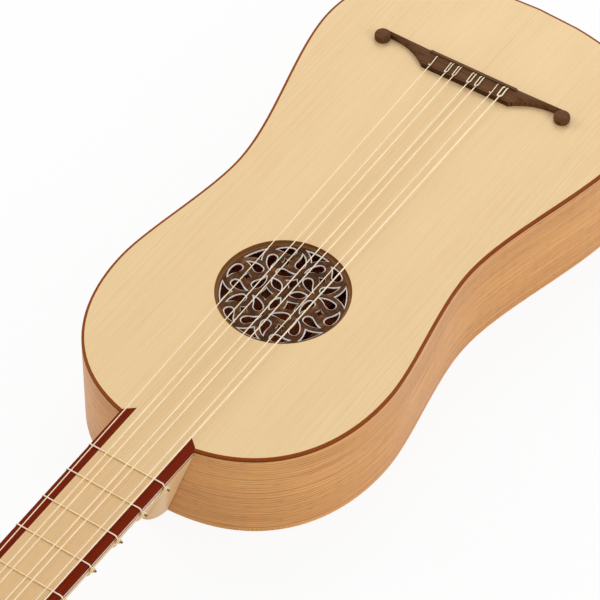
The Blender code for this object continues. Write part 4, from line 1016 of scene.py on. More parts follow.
def round_under(mesh):
    """Rounds the outer lower edge of a piece of the back, and leaves its glued joints sharp."""
    bm = bmesh.new()
    bm.from_mesh(mesh)
    outer = []
    for edge in bm.edges:
        low = all(vert.co.z < SEAM for vert in edge.verts)
        side = any(abs(face.normal.z) < 0.5 for face in edge.link_faces)
        a, b = (vert.co for vert in edge.verts)
        if low and side and (abs(a.x) > BACK_STRIP_WIDTH or abs(a.x - b.x) > abs(a.y - b.y)):
            outer.append(edge)
    bmesh.ops.bevel(bm, geom=outer, offset=details().back_round, segments=BACK_ROUND_STEPS, profile=0.5,
                    affect="EDGES")
    bm.to_mesh(mesh)
    bm.free()
    return mesh


def make_back():
    """Two matched halves, varnished outside only, and the strip between them."""
    half = BACK_STRIP_WIDTH / 2
    for side, sign in SIDES:
        line = [(sign * point.x, point.y) for point, normal in side_between(half + SEAM, half + SEAM)]
        name = f"back_board_{side}"
        mesh = round_under(slab(name, line, 0, BACK))
        item = present(name, mesh, ("back_wood", "back_inside"), "guitar", f"back_{side}_half",
                       on_face=False)
        for face in item.data.polygons:
            face.material_index = 1 if face.normal.z > 0.9 else 0
    strip = [(-half, NECK_JOIN_Y), (half, NECK_JOIN_Y), (half, TAIL_Y), (-half, TAIL_Y)]
    mesh = round_under(slab("back_strip", strip, 0, BACK))
    present("back_strip", mesh, ("dark_trim",), "guitar", "back_centre_strip", on_face=False)


def dress_inside():
    """Bars, blocks and linings keep their solids and get bare wood."""
    for node in INNER_NODES:
        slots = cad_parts[node].data.materials
        slots.clear()
        slots.append(finish("bare_wood"))


# Rose

def comma(margin):
    """Comma opening: a round head, an outer edge along the circle and an inner edge drawn out in an S."""
    rim = COMMA_RIM_RADIUS - margin
    head = polar(COMMA_RIM_RADIUS - COMMA_HEAD_RADIUS, COMMA_HEAD_ANGLE)
    radius = COMMA_HEAD_RADIUS - margin
    tip_angle = COMMA_TIP_ANGLE - COMMA_TIP_MARGINS * margin / rim
    tip = polar(rim, tip_angle)
    points = []
    for step in range(COMMA_RIM_STEPS):
        points.append(polar(rim, tip_angle + (COMMA_HEAD_ANGLE - tip_angle) * step / COMMA_RIM_STEPS))
    for step in range(COMMA_STEPS + 1):
        points.append(head + polar(radius, COMMA_HEAD_ANGLE - math.pi * step / COMMA_STEPS))
    first, second = [Vector(handle) * (1 + margin / Vector(handle).length) for handle in COMMA_BEND]
    bend = bezier(points[-1], first, second, tip, COMMA_STEPS)
    return points + [point for point, normal in bend[1:]]


def four_point(tips, waist, margin):
    """Curved diamond: long points along and across, with hollow sides between them."""
    points = []
    for quarter in range(4):
        angle = math.pi / 2 * quarter
        start = polar(tips[quarter % 2] - margin * 2, angle)
        end = polar(tips[(quarter + 1) % 2] - margin * 2, angle + math.pi / 2)
        middle = polar(waist - margin / 2, angle + math.pi / 4)
        knee = middle * 2 - (start + end) / 2
        for step in range(HOLLOW_SIDE_STEPS):
            t = step / HOLLOW_SIDE_STEPS
            points.append(start * (1 - t) ** 2 + knee * 2 * t * (1 - t) + end * t * t)
    return points


def lens(margin):
    start = LENS_START + margin * 2
    end = LENS_END - margin * 2
    width = LENS_HALF_WIDTH - margin
    upper = []
    for step in range(LENS_STEPS):
        t = step / LENS_STEPS
        upper.append(Vector((start + (end - start) * t, width * 4 * t * (1 - t))))
    lower = [Vector((p.x, -p.y)) for p in reversed(upper[1:])]
    return upper + [Vector((end, 0))] + lower


def rim_triangle(margin):
    """Opening between the rim and two neighbouring circles."""
    rim = ROSE_OPENING_RADIUS - margin
    radius = CIRCLE_RADIUS + margin
    half_turn = math.pi / CIRCLE_COUNT
    centre = polar(CIRCLE_CENTRE, half_turn)
    reach = (rim ** 2 + CIRCLE_CENTRE ** 2 - radius ** 2) / (2 * rim * CIRCLE_CENTRE)
    spread = half_turn - math.acos(reach)
    outer = polar(rim, spread)
    inner = Vector((centre.x + math.sqrt(radius ** 2 - centre.y ** 2), 0))
    first = math.atan2(inner.y - centre.y, inner.x - centre.x)
    last = math.atan2(outer.y - centre.y, outer.x - centre.x)
    shares = [step / RIM_OPENING_STEPS for step in range(1, RIM_OPENING_STEPS)]
    flank = [centre + polar(radius, first + (last - first) * share) for share in shares]
    arc = [polar(rim, spread * (1 - 2 * share)) for share in shares]
    mirrored = [Vector((p.x, -p.y)) for p in flank]
    return [inner] + flank + [outer] + arc + [Vector((outer.x, -outer.y))] + mirrored[::-1]


def pierced_rose_tree():
    """Openings set round in circles and cut out of a round plate."""
    if "pierced_rose" in bpy.data.node_groups:
        return bpy.data.node_groups["pierced_rose"]
    whole, number, thing = "NodeSocketInt", "NodeSocketFloat", "NodeSocketObject"
    tree, given, result = new_group("pierced_rose", (
        ("Geometry", "NodeSocketGeometry", None), ("Comma", thing, None), ("Star", thing, None),
        ("Rim Opening", thing, None), ("Lens", thing, None), ("Diamond", thing, None),
        ("Circles", whole, 6), ("Commas", whole, 4), ("Circle Reach", number, 0.02),
        ("Diamond Reach", number, 0.01), ("Rim Radius", number, 0.04), ("Thickness", number, 0.001),
        ("Finish", "NodeSocketMaterial", None),
    ), (("Geometry", "NodeSocketGeometry"),), "GeometryNodeTree")
    w = Wiring(tree)

    def shape_of(socket):
        return w.add("GeometryNodeObjectInfo", {"Object": socket}).outputs["Geometry"]

    def ring_of(shape, count, reach, start):
        """Copies a shape round a circle, each turned to face outwards."""
        index = w.add("GeometryNodeInputIndex").outputs[0]
        share = w.math("DIVIDE", index, count)
        angle = w.math("MULTIPLY_ADD", share, 2 * math.pi, start)
        spot = w.vector(w.math("MULTIPLY", w.math("COSINE", angle), reach),
                        w.math("MULTIPLY", w.math("SINE", angle), reach))
        points = w.add("GeometryNodePoints", {"Count": count, "Position": spot}).outputs[0]
        copies = w.add("GeometryNodeInstanceOnPoints", {
            "Points": points, "Instance": shape, "Rotation": w.vector(z=angle)})
        return copies.outputs[0]

    def together(parts):
        node = w.add("GeometryNodeJoinGeometry")
        for part in parts:
            tree.links.new(part, node.inputs[0])
        return w.add("GeometryNodeRealizeInstances", {0: node.outputs[0]}).outputs[0]

    quarter_turns = ring_of(shape_of(given["Comma"]), given["Commas"], 0.0, 0.0)
    group = together([quarter_turns, shape_of(given["Star"])])
    half_step = math.pi / CIRCLE_COUNT
    thirds = w.math("DIVIDE", given["Circles"], 2)
    loops = [
        ring_of(group, given["Circles"], given["Circle Reach"], 0.0),
        ring_of(shape_of(given["Rim Opening"]), given["Circles"], 0.0, half_step),
        ring_of(shape_of(given["Lens"]), thirds, 0.0, half_step),
        ring_of(shape_of(given["Diamond"]), thirds, given["Diamond Reach"], 3 * half_step),
    ]
    rim = w.add("GeometryNodeCurvePrimitiveCircle", {
        "Resolution": ROSE_EDGE_STEPS, "Radius": given["Rim Radius"]})
    drawn = together(loops + [rim.outputs[0]])
    fill = w.add("GeometryNodeFillCurve", {0: drawn}).outputs[0]
    lift = w.add("GeometryNodeExtrudeMesh", {
        "Mesh": fill, "Offset Scale": given["Thickness"], "Individual": False})
    under = w.add("GeometryNodeFlipFaces", {0: fill}).outputs[0]
    both = together([lift.outputs[0], under])
    closed = w.add("GeometryNodeMergeByDistance", {"Geometry": both, "Distance": MERGE_DISTANCE}).outputs[0]
    coated = w.add("GeometryNodeSetMaterial", {"Geometry": closed, "Material": given["Finish"]}).outputs[0]
    w.feed(result["Geometry"], coated)
    return tree


def run_tree(item, tree, values):
    """Runs a geometry tree on an object with the named values and returns the plain mesh."""
    step = item.modifiers.new(tree.name, "NODES")
    step.node_group = tree
    for socket in tree.interface.items_tree:
        if socket.in_out == "INPUT" and socket.name in values:
            step[socket.identifier] = values[socket.name]
    item.data.update_tag()
    bpy.context.view_layer.update()
    return settle(item)


def rose_plate(name, margin, top, thickness, coat, node):
    """Round plate with the rose's openings, each made smaller by a margin on all sides."""
    star = four_point((STAR_TIP, STAR_TIP), STAR_WAIST, margin / 2)
    shapes = {
        "Comma": comma(margin), "Star": [Matrix.Rotation(STAR_TURN, 2) @ p for p in star],
        "Rim Opening": rim_triangle(margin), "Lens": lens(margin),
        "Diamond": four_point(DIAMOND_TIPS, DIAMOND_WAIST, margin),
    }
    guides = {key: link(key, drawn_curve(key, [points], True)) for key, points in shapes.items()}
    values = {
        **guides, "Circles": CIRCLE_COUNT, "Commas": COMMAS_PER_CIRCLE, "Circle Reach": CIRCLE_CENTRE,
        "Diamond Reach": DIAMOND_CENTRE, "Rim Radius": ROSE_HOLE_RADIUS + ROSE_FLANGE, "Thickness": thickness,
        "Finish": finish(coat),
    }
    mesh = run_tree(link(name, bpy.data.meshes.new(name)), pierced_rose_tree(), values)
    for guide in guides.values():
        bpy.data.objects.remove(guide)
    mesh.transform(Matrix.Translation((0, ROSE_Y, top - thickness)))
    present(name, cleaned(name, mesh), (coat,), "guitar", node)


def make_rose():
    """Pierced wooden tracery over parchment that shows as a pale edge in each opening."""
    top = -(BOARD + AIR / 3)
    below = top - TRACERY_THICKNESS - SEAM
    rose_plate("rose_openwork", 0, top, TRACERY_THICKNESS, "rose_walnut", "rose_tracery")
    rose_plate("rose_backing", PARCHMENT_LEDGE, below, PARCHMENT_THICKNESS, "parchment", "rose_parchment")


# Neck, fingerboard, nut and frets

def neck_section(y):
    """Cross-section of the neck: half round along the shaft, wedge shaped at the heel."""
    half = fingerboard_half(y)
    start = NUT_Y - NUT_THICKNESS
    along = (y - start) / (HEEL_FRONT_Y - start)
    shaft_depth = NECK_DEPTH_AT_NUT + (NECK_DEPTH_AT_HEEL - NECK_DEPTH_AT_NUT) * min(along, 1)
    ahead = max(0.0, HEEL_FRONT_Y - y)
    depth = shaft_depth + (HEEL_DEPTH - shaft_depth) * math.exp(-ahead / HEEL_SWEEP)
    wedge = math.exp(-ahead / HEEL_SPREAD)
    behind = min(max(0.0, y - HEEL_FRONT_Y) / (NECK_JOIN_Y - HEEL_FRONT_Y), 1)
    foot = max(HEEL_HALF_WIDTH * math.sqrt(1 - (1 - behind) ** 2), HEEL_RIDGE)
    cheek = NECK_TOP - NECK_CHEEK
    right = [Vector((half, y, NECK_TOP))]
    for step in range(NECK_SECTION_STEPS + 1):
        angle = math.pi / 2 * step / NECK_SECTION_STEPS
        round_x = half * math.cos(angle)
        wedge_x = half + (foot - half) * math.sin(angle)
        x = max(round_x * (1 - wedge) + wedge_x * wedge, HEEL_RIDGE)
        right.append(Vector((x, y, cheek - (depth + cheek) * math.sin(angle))))
    return right + [Vector((-p.x, p.y, p.z)) for p in reversed(right)]


def make_neck():
    """Neck and heel in one, cut off where the heel meets the ribs."""
    start = NUT_Y - NUT_THICKNESS
    shaft = HEEL_FRONT_Y - start
    foot = NECK_JOIN_Y - HEEL_FRONT_Y
    stations = [start + shaft * share for share in SHAFT_STATIONS]
    stations += [HEEL_FRONT_Y - HEEL_SWEEP * HEEL_STEPS_REACH * (1 - step / HEEL_STEPS) ** HEEL_STEPS_CROWDING
                 for step in range(HEEL_STEPS + 1)]
    stations += [HEEL_FRONT_Y + foot * share for share in HEEL_FOOT_STATIONS]
    mesh = skin("neck_shaft", [neck_section(y) for y in stations])
    mesh.transform(FACE)
    line = [(point.x + normal.x * SEAM, point.y + normal.y * SEAM)
            for point, normal in side_between(SEAM, SEAM) if point.y < UPPER_BOUT[1]]
    seat = slab("neck_seat", line + [(-x, y) for x, y in reversed(line)], -BACK, DEPTH_AT_TAIL)
    present("neck_shaft", cut(mesh, [seat]), ("neck_lines",), "guitar", "neck", on_face=False)


def make_fingerboard():
    """Flush panel between two dark strips whose inner ends are cut to a point."""
    near = NUT_Y + SEAM
    far = fret_y(BOARD_END_FRET) - SEAM
    panel = [(fingerboard_half(y) - STRIP_WIDTH - SEAM, y) for y in (near, far)]
    panel += [(-x, y) for x, y in reversed(panel)]
    mesh = slab("board_panel", panel, -BOARD, 0)
    present("board_panel", mesh, ("board_maple",), "guitar", "fingerboard_panel")
    for side, sign in SIDES:
        strip = [(fingerboard_half(near), near), (fingerboard_half(STRIP_CORNER_Y), STRIP_CORNER_Y),
                 (fingerboard_half(STRIP_TIP_Y) - STRIP_WIDTH, STRIP_TIP_Y),
                 (fingerboard_half(near) - STRIP_WIDTH, near)]
        name = f"board_edge_{side}"
        mesh = rounded(slab(name, [(sign * x, y) for x, y in strip], -BOARD, 0), details().edge_round / 2)
        present(name, mesh, ("dark_trim",), "guitar", f"fingerboard_edge_{side}")


def nut_string_x(number):
    return MIDDLE_AT_NUT + (PLACES_AT_NUT[number] - 0.5) * SPREAD_AT_NUT


def make_nut():
    """Bone nut with a rounded crown and a shallow groove under each string."""
    half = fingerboard_half(NUT_Y - NUT_THICKNESS)
    low = NECK_TOP + SEAM
    profile = [(NUT_Y, low), (NUT_Y, NUT_RISE - NUT_CROWN)]
    for step in range(1, NUT_CROWN_STEPS):
        angle = math.pi * step / NUT_CROWN_STEPS
        y = NUT_Y - NUT_THICKNESS / 2 * (1 - math.cos(angle))
        profile.append((y, NUT_RISE - NUT_CROWN * (1 - math.sin(angle))))
    profile += [(NUT_Y - NUT_THICKNESS, NUT_RISE - NUT_CROWN), (NUT_Y - NUT_THICKNESS, low)]
    mesh = skin("bone_nut", [[Vector((x, y, z)) for y, z in profile] for x in (-half, half)])
    grooves = []
    for number, radius in enumerate(STRING_RADII):
        x = nut_string_x(number)
        z = NUT_RISE + AIR + radius
        behind = Vector((x, NUT_Y - NUT_THICKNESS * (1 + NUT_GROOVE_OVERRUN), z))
        ahead = Vector((x, NUT_Y + NUT_THICKNESS * NUT_GROOVE_OVERRUN, z))
        grooves.append(bar(f"groove_{number}", behind, ahead, radius + NUT_GROOVE_FIT * AIR))
    mesh = cut(rounded(mesh, details().edge_round), grooves)
    present("bone_nut", mesh, ("bone",), "guitar", "nut")


def cord_tree():
    """Round cord of one thickness along a route, with its corners turned smoothly and its ends closed."""
    if "cord" in bpy.data.node_groups:
        return bpy.data.node_groups["cord"]
    tree, given, result = new_group("cord", (
        ("Geometry", "NodeSocketGeometry", None), ("Radius", "NodeSocketFloat", 0.0003),
        ("Sides", "NodeSocketInt", 12), ("Turn Radius", "NodeSocketFloat", 0.001),
        ("Turn Steps", "NodeSocketInt", 4), ("Finish", "NodeSocketMaterial", None),
    ), (("Geometry", "NodeSocketGeometry"),), "GeometryNodeTree")
    w = Wiring(tree)
    turned = w.add("GeometryNodeFilletCurve", {
        "Curve": given["Geometry"], "Count": given["Turn Steps"], "Radius": given["Turn Radius"],
        "Limit Radius": True}, mode="POLY").outputs[0]
    profile = w.add("GeometryNodeCurvePrimitiveCircle", {
        "Resolution": given["Sides"], "Radius": given["Radius"]}).outputs[0]
    tube = w.add("GeometryNodeCurveToMesh", {
        "Curve": turned, "Profile Curve": profile, "Fill Caps": True}).outputs[0]
    real = w.add("GeometryNodeRealizeInstances", {0: tube}).outputs[0]
    coated = w.add("GeometryNodeSetMaterial", {"Geometry": real, "Material": given["Finish"]}).outputs[0]
    w.feed(result["Geometry"], coated)
    return tree


def cord(name, routes, radius, coat, turn_radius):
    """Plain mesh of one or more round cords."""
    values = {"Radius": radius, "Sides": details().cord_sides, "Turn Radius": turn_radius,
              "Turn Steps": CORD_TURN_STEPS, "Finish": finish(coat)}
    return cleaned(name, run_tree(link(name, drawn_curve(name, routes, False)), cord_tree(), values))


def burn_tips(mesh, tips, reach):
    """Marks the mesh of a cord as burnt at its tips, fading out along it."""
    layer = mesh.attributes.new("burn", "FLOAT", "POINT")
    for vertex in mesh.vertices:
        near = min((vertex.co - tip).length for tip in tips)
        burnt = (reach * BURNT_REACH - near) / (reach * BURNT_FADE)
        layer.data[vertex.index].value = min(max(burnt, 0), 1)


def fret_below(y, off):
    """Route of a fret under the neck, from side to side."""
    section = neck_section(y + 2 * FRET_RADIUS)
    route = []
    for before, here, after in zip(section, section[1:], section[2:]):
        chord = after - before
        outward = Vector((chord.z, 0, -chord.x)).normalized()
        if outward.dot(Vector((here.x, 0, here.z - NECK_TOP))) < 0:
            outward = -outward
        route.append(Vector((here.x, y, here.z)) + outward * off * FRET_STAND_BELOW)
    return route


def make_frets():
    """Gut cord once round the neck, its ends bound together and burnt at the bass edge."""
    off = FRET_AIR + FRET_RADIUS
    length = details().knot_length
    aside = Vector((0, FRET_RADIUS * FRET_END_ASIDE, 0))
    for number in range(1, FRET_COUNT + 1):
        y = fret_y(number)
        half = fingerboard_half(y) + off
        across = [Vector((-half, y, -BOARD)), Vector((-half, y, off)), Vector((half, y, off)),
                  Vector((half, y, -BOARD * FRET_EDGE_SHARE))]
        bind = Vector((half + FRET_RADIUS, y, -BOARD - KNOT_DROP))
        ends = [bind + Vector((length, 0, KNOT_END_RISE)) - aside,
                bind + Vector((length, 0, -KNOT_END_DROP)) + aside]
        ring = [ends[0], bind - aside] + fret_below(y, off) + across + [bind + aside, ends[1]]
        wrap = []
        for step in range(int(KNOT_TURNS * KNOT_STEPS) + 1):
            turn = 2 * math.pi * step / KNOT_STEPS
            out = length * KNOT_START + KNOT_PITCH * step / KNOT_STEPS
            wrap.append(bind + Vector((out, KNOT_HALF_WIDTH * math.cos(turn),
                                       KNOT_HALF_HEIGHT * math.sin(turn))))
        name = f"gut_fret_{number}"
        mesh = cord(name, [ring, wrap], FRET_RADIUS, "gut", FRET_TURN_RADIUS)
        burn_tips(mesh, ends, length * BURNT_SHARE)
        present(name, mesh, ("gut",), f"tied_fret_{number}", f"fret_{number}", crisp=CORD_CRISP)


# Bridge

def bridge_edges(x):
    """Front and rear of the bridge's foot, and how far out along an arm x lies, from 0 to 1."""
    side = math.copysign(1, x - BRIDGE_X)
    block_end = BRIDGE_X + side * BRIDGE_BLOCK_HALF
    arm_end = BRIDGE_X + side * KNOB_REACH
    away = max(0.0, (x - block_end) / (arm_end - block_end))
    hollow = (1 - min(away, 1)) ** BRIDGE_ARM_HOLLOW
    front = BRIDGE_ARM_FRONT_Y + (BRIDGE_FRONT_Y - BRIDGE_ARM_FRONT_Y) * hollow
    rear = BRIDGE_REAR_Y + BRIDGE_ARM_BOW * min(away, 1)
    return front + BRIDGE_SLANT * x, rear + BRIDGE_SLANT * x, away


def bridge_section(x):
    """Cross-section of the bridge across its length: tie block with a ridge, slim arm outside."""
    front, rear, away = bridge_edges(x)
    front_height = BRIDGE_FRONT_HEIGHT + (BRIDGE_ARM_FRONT_HEIGHT - BRIDGE_FRONT_HEIGHT) * away
    rear_height = BRIDGE_REAR_HEIGHT + (BRIDGE_ARM_HEIGHT - BRIDGE_REAR_HEIGHT) * away
    foot = max(rear - RIDGE_WIDTH, (front + rear) / 2)
    rise = RIDGE_RISE if abs(x - BRIDGE_X) < BRIDGE_BLOCK_HALF - RIDGE_STEP / 2 else 0
    r = details().edge_round
    top = rear_height + rise
    points = [
        (front, SEAM), (front, front_height - r / 2), (front + r / 2, front_height), (foot, rear_height),
        (foot + r / 2, top), (rear - r, top), (rear - r / 3, top - r / 3), (rear, top - r), (rear, SEAM),
    ]
    return [Vector((x, y, z)) for y, z in points]


def bridge_string_x(number):
    return MIDDLE_AT_BRIDGE + (PLACES_AT_BRIDGE[number] - 0.5) * SPREAD_AT_BRIDGE


def on_slope(x, y):
    """Height of the tie block's sloping top."""
    front, rear, away = bridge_edges(x)
    share = (y - front) / (rear - RIDGE_WIDTH - front)
    return BRIDGE_FRONT_HEIGHT + (BRIDGE_REAR_HEIGHT - BRIDGE_FRONT_HEIGHT) * share


def tie_axes(number):
    """The two holes of a string's tie: in under the ridge from the front, and back out before the ridge."""
    x = bridge_string_x(number)
    front, rear, away = bridge_edges(x)
    enter = Vector((x, front, TIE_HOLE_HEIGHT))
    leave = Vector((x, rear, TIE_HOLE_HEIGHT - TIE_HOLE_FALL * (rear - front)))
    aside = x + max(LOOP_HALF_WIDTHS[number], STRING_RADII[number])
    before = RIDGE_WIDTH + RETURN_HOLE_BEFORE_RIDGE
    mouth = Vector((aside, rear - before, on_slope(x, rear - before) + STRING_RADII[number] / 2))
    back = Vector((aside, rear, mouth.z - RETURN_HOLE_FALL * before))
    return enter, leave, mouth, back


def knob(side):
    """Turned knob at the end of an arm, with a small foot bead and a domed top."""
    x = BRIDGE_X + side * KNOB_REACH
    y = KNOB_Y + BRIDGE_SLANT * x
    rings = []
    for share, rise in KNOB_PROFILE:
        z = SEAM + (KNOB_HEIGHT - SEAM) * rise
        rings.append([Vector((x + a, y + b, z)) for a, b in circle(KNOB_RADIUS * share, KNOB_SIDES)])
    return skin(f"knob_{side}", rings)


def make_bridge():
    """Tie bridge: sloping block with a ridge and string holes, concave arms and a knob at each end."""
    stations = []
    for side in (-1, 1):
        near, far = BRIDGE_X + side * BRIDGE_BLOCK_HALF, BRIDGE_X + side * KNOB_REACH
        half = [near - side * RIDGE_STEP]
        half += [near + (far - near) * (step / BRIDGE_ARM_STEPS) ** BRIDGE_ARM_CROWDING
                 for step in range(BRIDGE_ARM_STEPS + 1)]
        stations += half[::-1] if side < 0 else half
    mesh = skin("tie_bridge", [bridge_section(x) for x in stations])
    mesh = cut(mesh, [knob(-1), knob(1)], "UNION")
    holes = []
    for number, radius in enumerate(STRING_RADII):
        enter, leave, mouth, back = tie_axes(number)
        for label, start, end in (("tie", enter, leave), ("return", mouth, back)):
            beyond = (end - start).normalized() * radius * 2
            name = f"{label}_hole_{number}"
            holes.append(bar(name, start - beyond, end + beyond, radius + TIE_HOLE_CLEARANCE))
    present("tie_bridge", cut(mesh, holes), ("bridge_walnut",), "guitar", "bridge")


# Pegbox, pegs and strings

def head_place(s):
    """Point of the pegbox's front edge at arc length s, and how far the box has turned back there."""
    angle = s / HEAD_RADIUS
    return HEAD_Y - HEAD_RADIUS * math.sin(angle), -HEAD_DROP - HEAD_RADIUS * (1 - math.cos(angle)), angle


def head_half(s):
    start = fingerboard_half(NUT_Y - NUT_THICKNESS)
    return start + (HEAD_HALF_WIDTH_END - start) * min(s / HEAD_LENGTH, 1)


def head_depth(s):
    """Depth of the pegbox, fullest at the middle."""
    t = min(s / HEAD_LENGTH, 1)
    return (HEAD_DEPTH_START * (1 - t) * (1 - 2 * t) + HEAD_DEPTH_MIDDLE * 4 * t * (1 - t)
            + HEAD_DEPTH_END * t * (2 * t - 1))


def head_down(angle):
    """Direction from the pegbox's front edge towards its back."""
    return Vector((0, math.sin(angle), -math.cos(angle)))


def head_ring(s, half, high, low, corner):
    """Ring across the pegbox, between two depths under the front edge, with rounded back corners."""
    y, z, angle = head_place(s)
    base, down = Vector((0, y, z)), head_down(angle)
    flat = [(half, high)]
    for step in range(HEAD_CORNER_STEPS + 1):
        turn = math.pi / 2 * step / HEAD_CORNER_STEPS
        flat.append((half - corner * (1 - math.cos(turn)), low - corner * (1 - math.sin(turn))))
    flat = flat + [(-x, depth) for x, depth in reversed(flat)]
    return [base + Vector((x, 0, 0)) + down * depth for x, depth in flat]


def peg_centres():
    """Axis of each peg: on a straight line inside the curved box."""
    count = len(PEG_STRINGS) - 1
    ends = []
    for s, depth in ((FIRST_PEG, PEG_DEPTH), (FIRST_PEG + PEG_SPACING * count, LAST_PEG_DEPTH)):
        y, z, angle = head_place(s)
        ends.append(Vector((0, y, z)) + head_down(angle) * depth)
    return [(ends[0].lerp(ends[1], i / count), FIRST_PEG + PEG_SPACING * i) for i in range(count + 1)]


def peg_side(order):
    return 1 if order % 2 == 0 else -1


def peg_radius(x):
    """Radius of the tapered shaft, growing towards the peg's head."""
    return PEG_RADIUS + PEG_TAPER * x


def smooth_values(knots, steps):
    """Runs a smooth line through knots, each a tuple of numbers, with some steps between two of them."""
    rows = [Vector(knot) for knot in knots]
    result = []
    for i in range(len(rows) - 1):
        a, b = rows[max(i - 1, 0)], rows[i]
        c, d = rows[i + 1], rows[min(i + 2, len(rows) - 1)]
        for step in range(steps):
            t = step / steps
            result.append(((b * 2) + (c - a) * t + (a * 2 - b * 5 + c * 4 - d) * t * t
                           + (b * 3 - a - c * 3 + d) * t ** 3) * 0.5)
    return result + [rows[-1]]


def make_pegbox():
    """Curved pegbox, hollowed from the front, with its finial and the peg holes."""
    rings = [head_ring(SEAM - AIR, head_half(0), 0, HEAD_DEPTH_START, HEAD_CORNER)]
    for i in range(HEAD_STEPS + 1):
        s = HEAD_LENGTH * i / HEAD_STEPS
        rings.append(head_ring(s, head_half(s), 0, head_depth(s), HEAD_CORNER))
    for t, half, share in smooth_values(FINIAL_PROFILE, FINIAL_STEPS)[1:]:
        corner = FINIAL_CORNER + (HEAD_CORNER - FINIAL_CORNER) * max(0.0, 1 - t * 4)
        high, low = (HEAD_DEPTH_END * (1 + side * share) / 2 for side in (-1, 1))
        rings.append(head_ring(HEAD_LENGTH + FINIAL_LENGTH * t, half, high, low, corner))
    mesh = rounded(skin("peg_box", rings), details().edge_round * HEAD_ROUNDING)
    rings = []
    for i in range(CAVITY_STEPS + 1):
        s = HEAD_WALL_AT_NUT + (HEAD_LENGTH - HEAD_WALL_AT_END - HEAD_WALL_AT_NUT) * i / CAVITY_STEPS
        low = head_depth(s) - HEAD_FLOOR
        rings.append(head_ring(s, head_half(s) - CHEEK, -CAVITY_RISE, low, CAVITY_CORNER))
    cutters = [skin("cavity", rings)]
    for order, (centre, s) in enumerate(peg_centres()):
        reach = head_half(s) + PEG_HOLE_OVERRUN
        rings = []
        for x in (-reach, reach):
            ring = circle(peg_radius(x) + AIR, PEG_HOLE_SIDES)
            rings.append([centre + Vector((peg_side(order) * x, b, a)) for a, b in ring])
        cutters.append(skin(f"peg_hole_{order}", rings))
    present("peg_box", cut(mesh, cutters), ("neck_maple",), "guitar", "pegbox")


# In string radii, where the winding's end bends into its hole in the peg

BEND_INWARD = 0.6
BEND_ONWARD = 0.4
ROOT_DEPTH = 4
ROOT_START = 0.2
ROOT_END = 1.6


def winding_route(centre, order):
    """Route of the string on its peg, in the peg's own axes, and where the string comes in."""
    offset = WINDING_X[order]
    side = peg_side(order)
    radius = STRING_RADII[PEG_STRINGS[order] - 1]
    coil = peg_radius(side * offset) + AIR + radius
    nut_back = Vector((0, NUT_Y - NUT_THICKNESS * NUT_REAR_BEARING, NUT_RISE + AIR + radius))
    away = nut_back - centre
    lean = math.atan2(away.z, away.y) + math.acos(coil / away.length)
    pitch = 2 * radius + WINDING_GAP
    drift = -math.copysign(1, offset)
    start_x = offset - drift * pitch * WINDING_TURNS / 2

    def on_coil(turn):
        angle = lean + 2 * math.pi * turn
        return Vector((start_x + drift * pitch * turn, coil * math.cos(angle), coil * math.sin(angle)))

    touch = on_coil(0)
    entry = Vector((0, math.sin(lean), -math.cos(lean)))
    route = [touch + entry * (STRING_STANDOFF - AIR)]
    route += [on_coil(i / TURN_POINTS) for i in range(WINDING_TURNS * TURN_POINTS + 1)]
    foot = on_coil(WINDING_TURNS + 1 / TURN_POINTS)
    inward = Vector((0, foot.y, foot.z)).normalized()
    onward = Vector((0, -inward.z, inward.y))
    route += [foot - inward * radius * BEND_INWARD + onward * radius * BEND_ONWARD]
    root = Vector((foot.x, 0, 0)) + inward * (coil - radius * ROOT_DEPTH)
    route += [root + inward * radius * ROOT_START, root - inward * radius * ROOT_END]
    return route, touch + entry * STRING_STANDOFF, foot, inward


def peg_profile(reach):
    """Stations along a peg, from its tip, each with its half width and half thickness."""
    collar = reach + PEG_NECK
    tip = -reach - PEG_TIP_STAND
    shaft = [(tip + step, share) for step, share in PEG_TIP_PROFILE] + [(collar - PEG_SHOULDER, 1.0)]
    stations = [(x, peg_radius(x) * share, peg_radius(x) * share) for x, share in shaft]
    for share, width in PEG_COLLAR_PROFILE:
        half = PEG_COLLAR_RADIUS * width
        stations.append((collar + PEG_HEAD_LENGTH * share, half, half))
    for share, width, thickness in smooth_values(PEG_HEAD_PROFILE, PEG_HEAD_STEPS)[1:]:
        stations.append((collar + PEG_HEAD_LENGTH * share, PEG_HEAD_HALF_WIDTH * width,
                         PEG_HEAD_HALF_THICKNESS * thickness))
    return stations


def make_pegs():
    """Seven tapered friction pegs, each with a string hole, and the string wound on it."""
    sides = details().peg_sides
    for order, (centre, s) in enumerate(peg_centres()):
        number = PEG_STRINGS[order]
        side = peg_side(order)
        radius = STRING_RADII[number - 1]
        lean = PEG_HEAD_LEAN + PEG_HEAD_STEP * order
        rings = []
        for x, wide, thick in peg_profile(head_half(s)):
            ring = []
            for i in range(sides):
                angle = 2 * math.pi * i / sides
                a, b = wide * math.cos(angle), thick * math.sin(angle)
                ring.append(centre + Vector((side * x, a * math.cos(lean) - b * math.sin(lean),
                                             a * math.sin(lean) + b * math.cos(lean))))
            rings.append(ring)
        route, end, foot, inward = winding_route(centre, order)
        root = centre + Vector((foot.x, 0, 0))
        near, far = (root + inward * reach for reach in STRING_HOLE_ENDS)
        hole = bar("hole", near, far, radius + STRING_HOLE_CLEARANCE)
        name, body = f"friction_peg_{number}", f"tuning_peg_{number}"
        present(name, cut(skin(name, rings), [hole]), ("peg_wood",), body, f"peg_{number}")
        name = f"string_winding_{number}"
        mesh = cord(name, [[centre + point for point in route]], radius, "string", radius)
        present(name, mesh, ("string",), body, f"winding_{number}", crisp=CORD_CRISP)


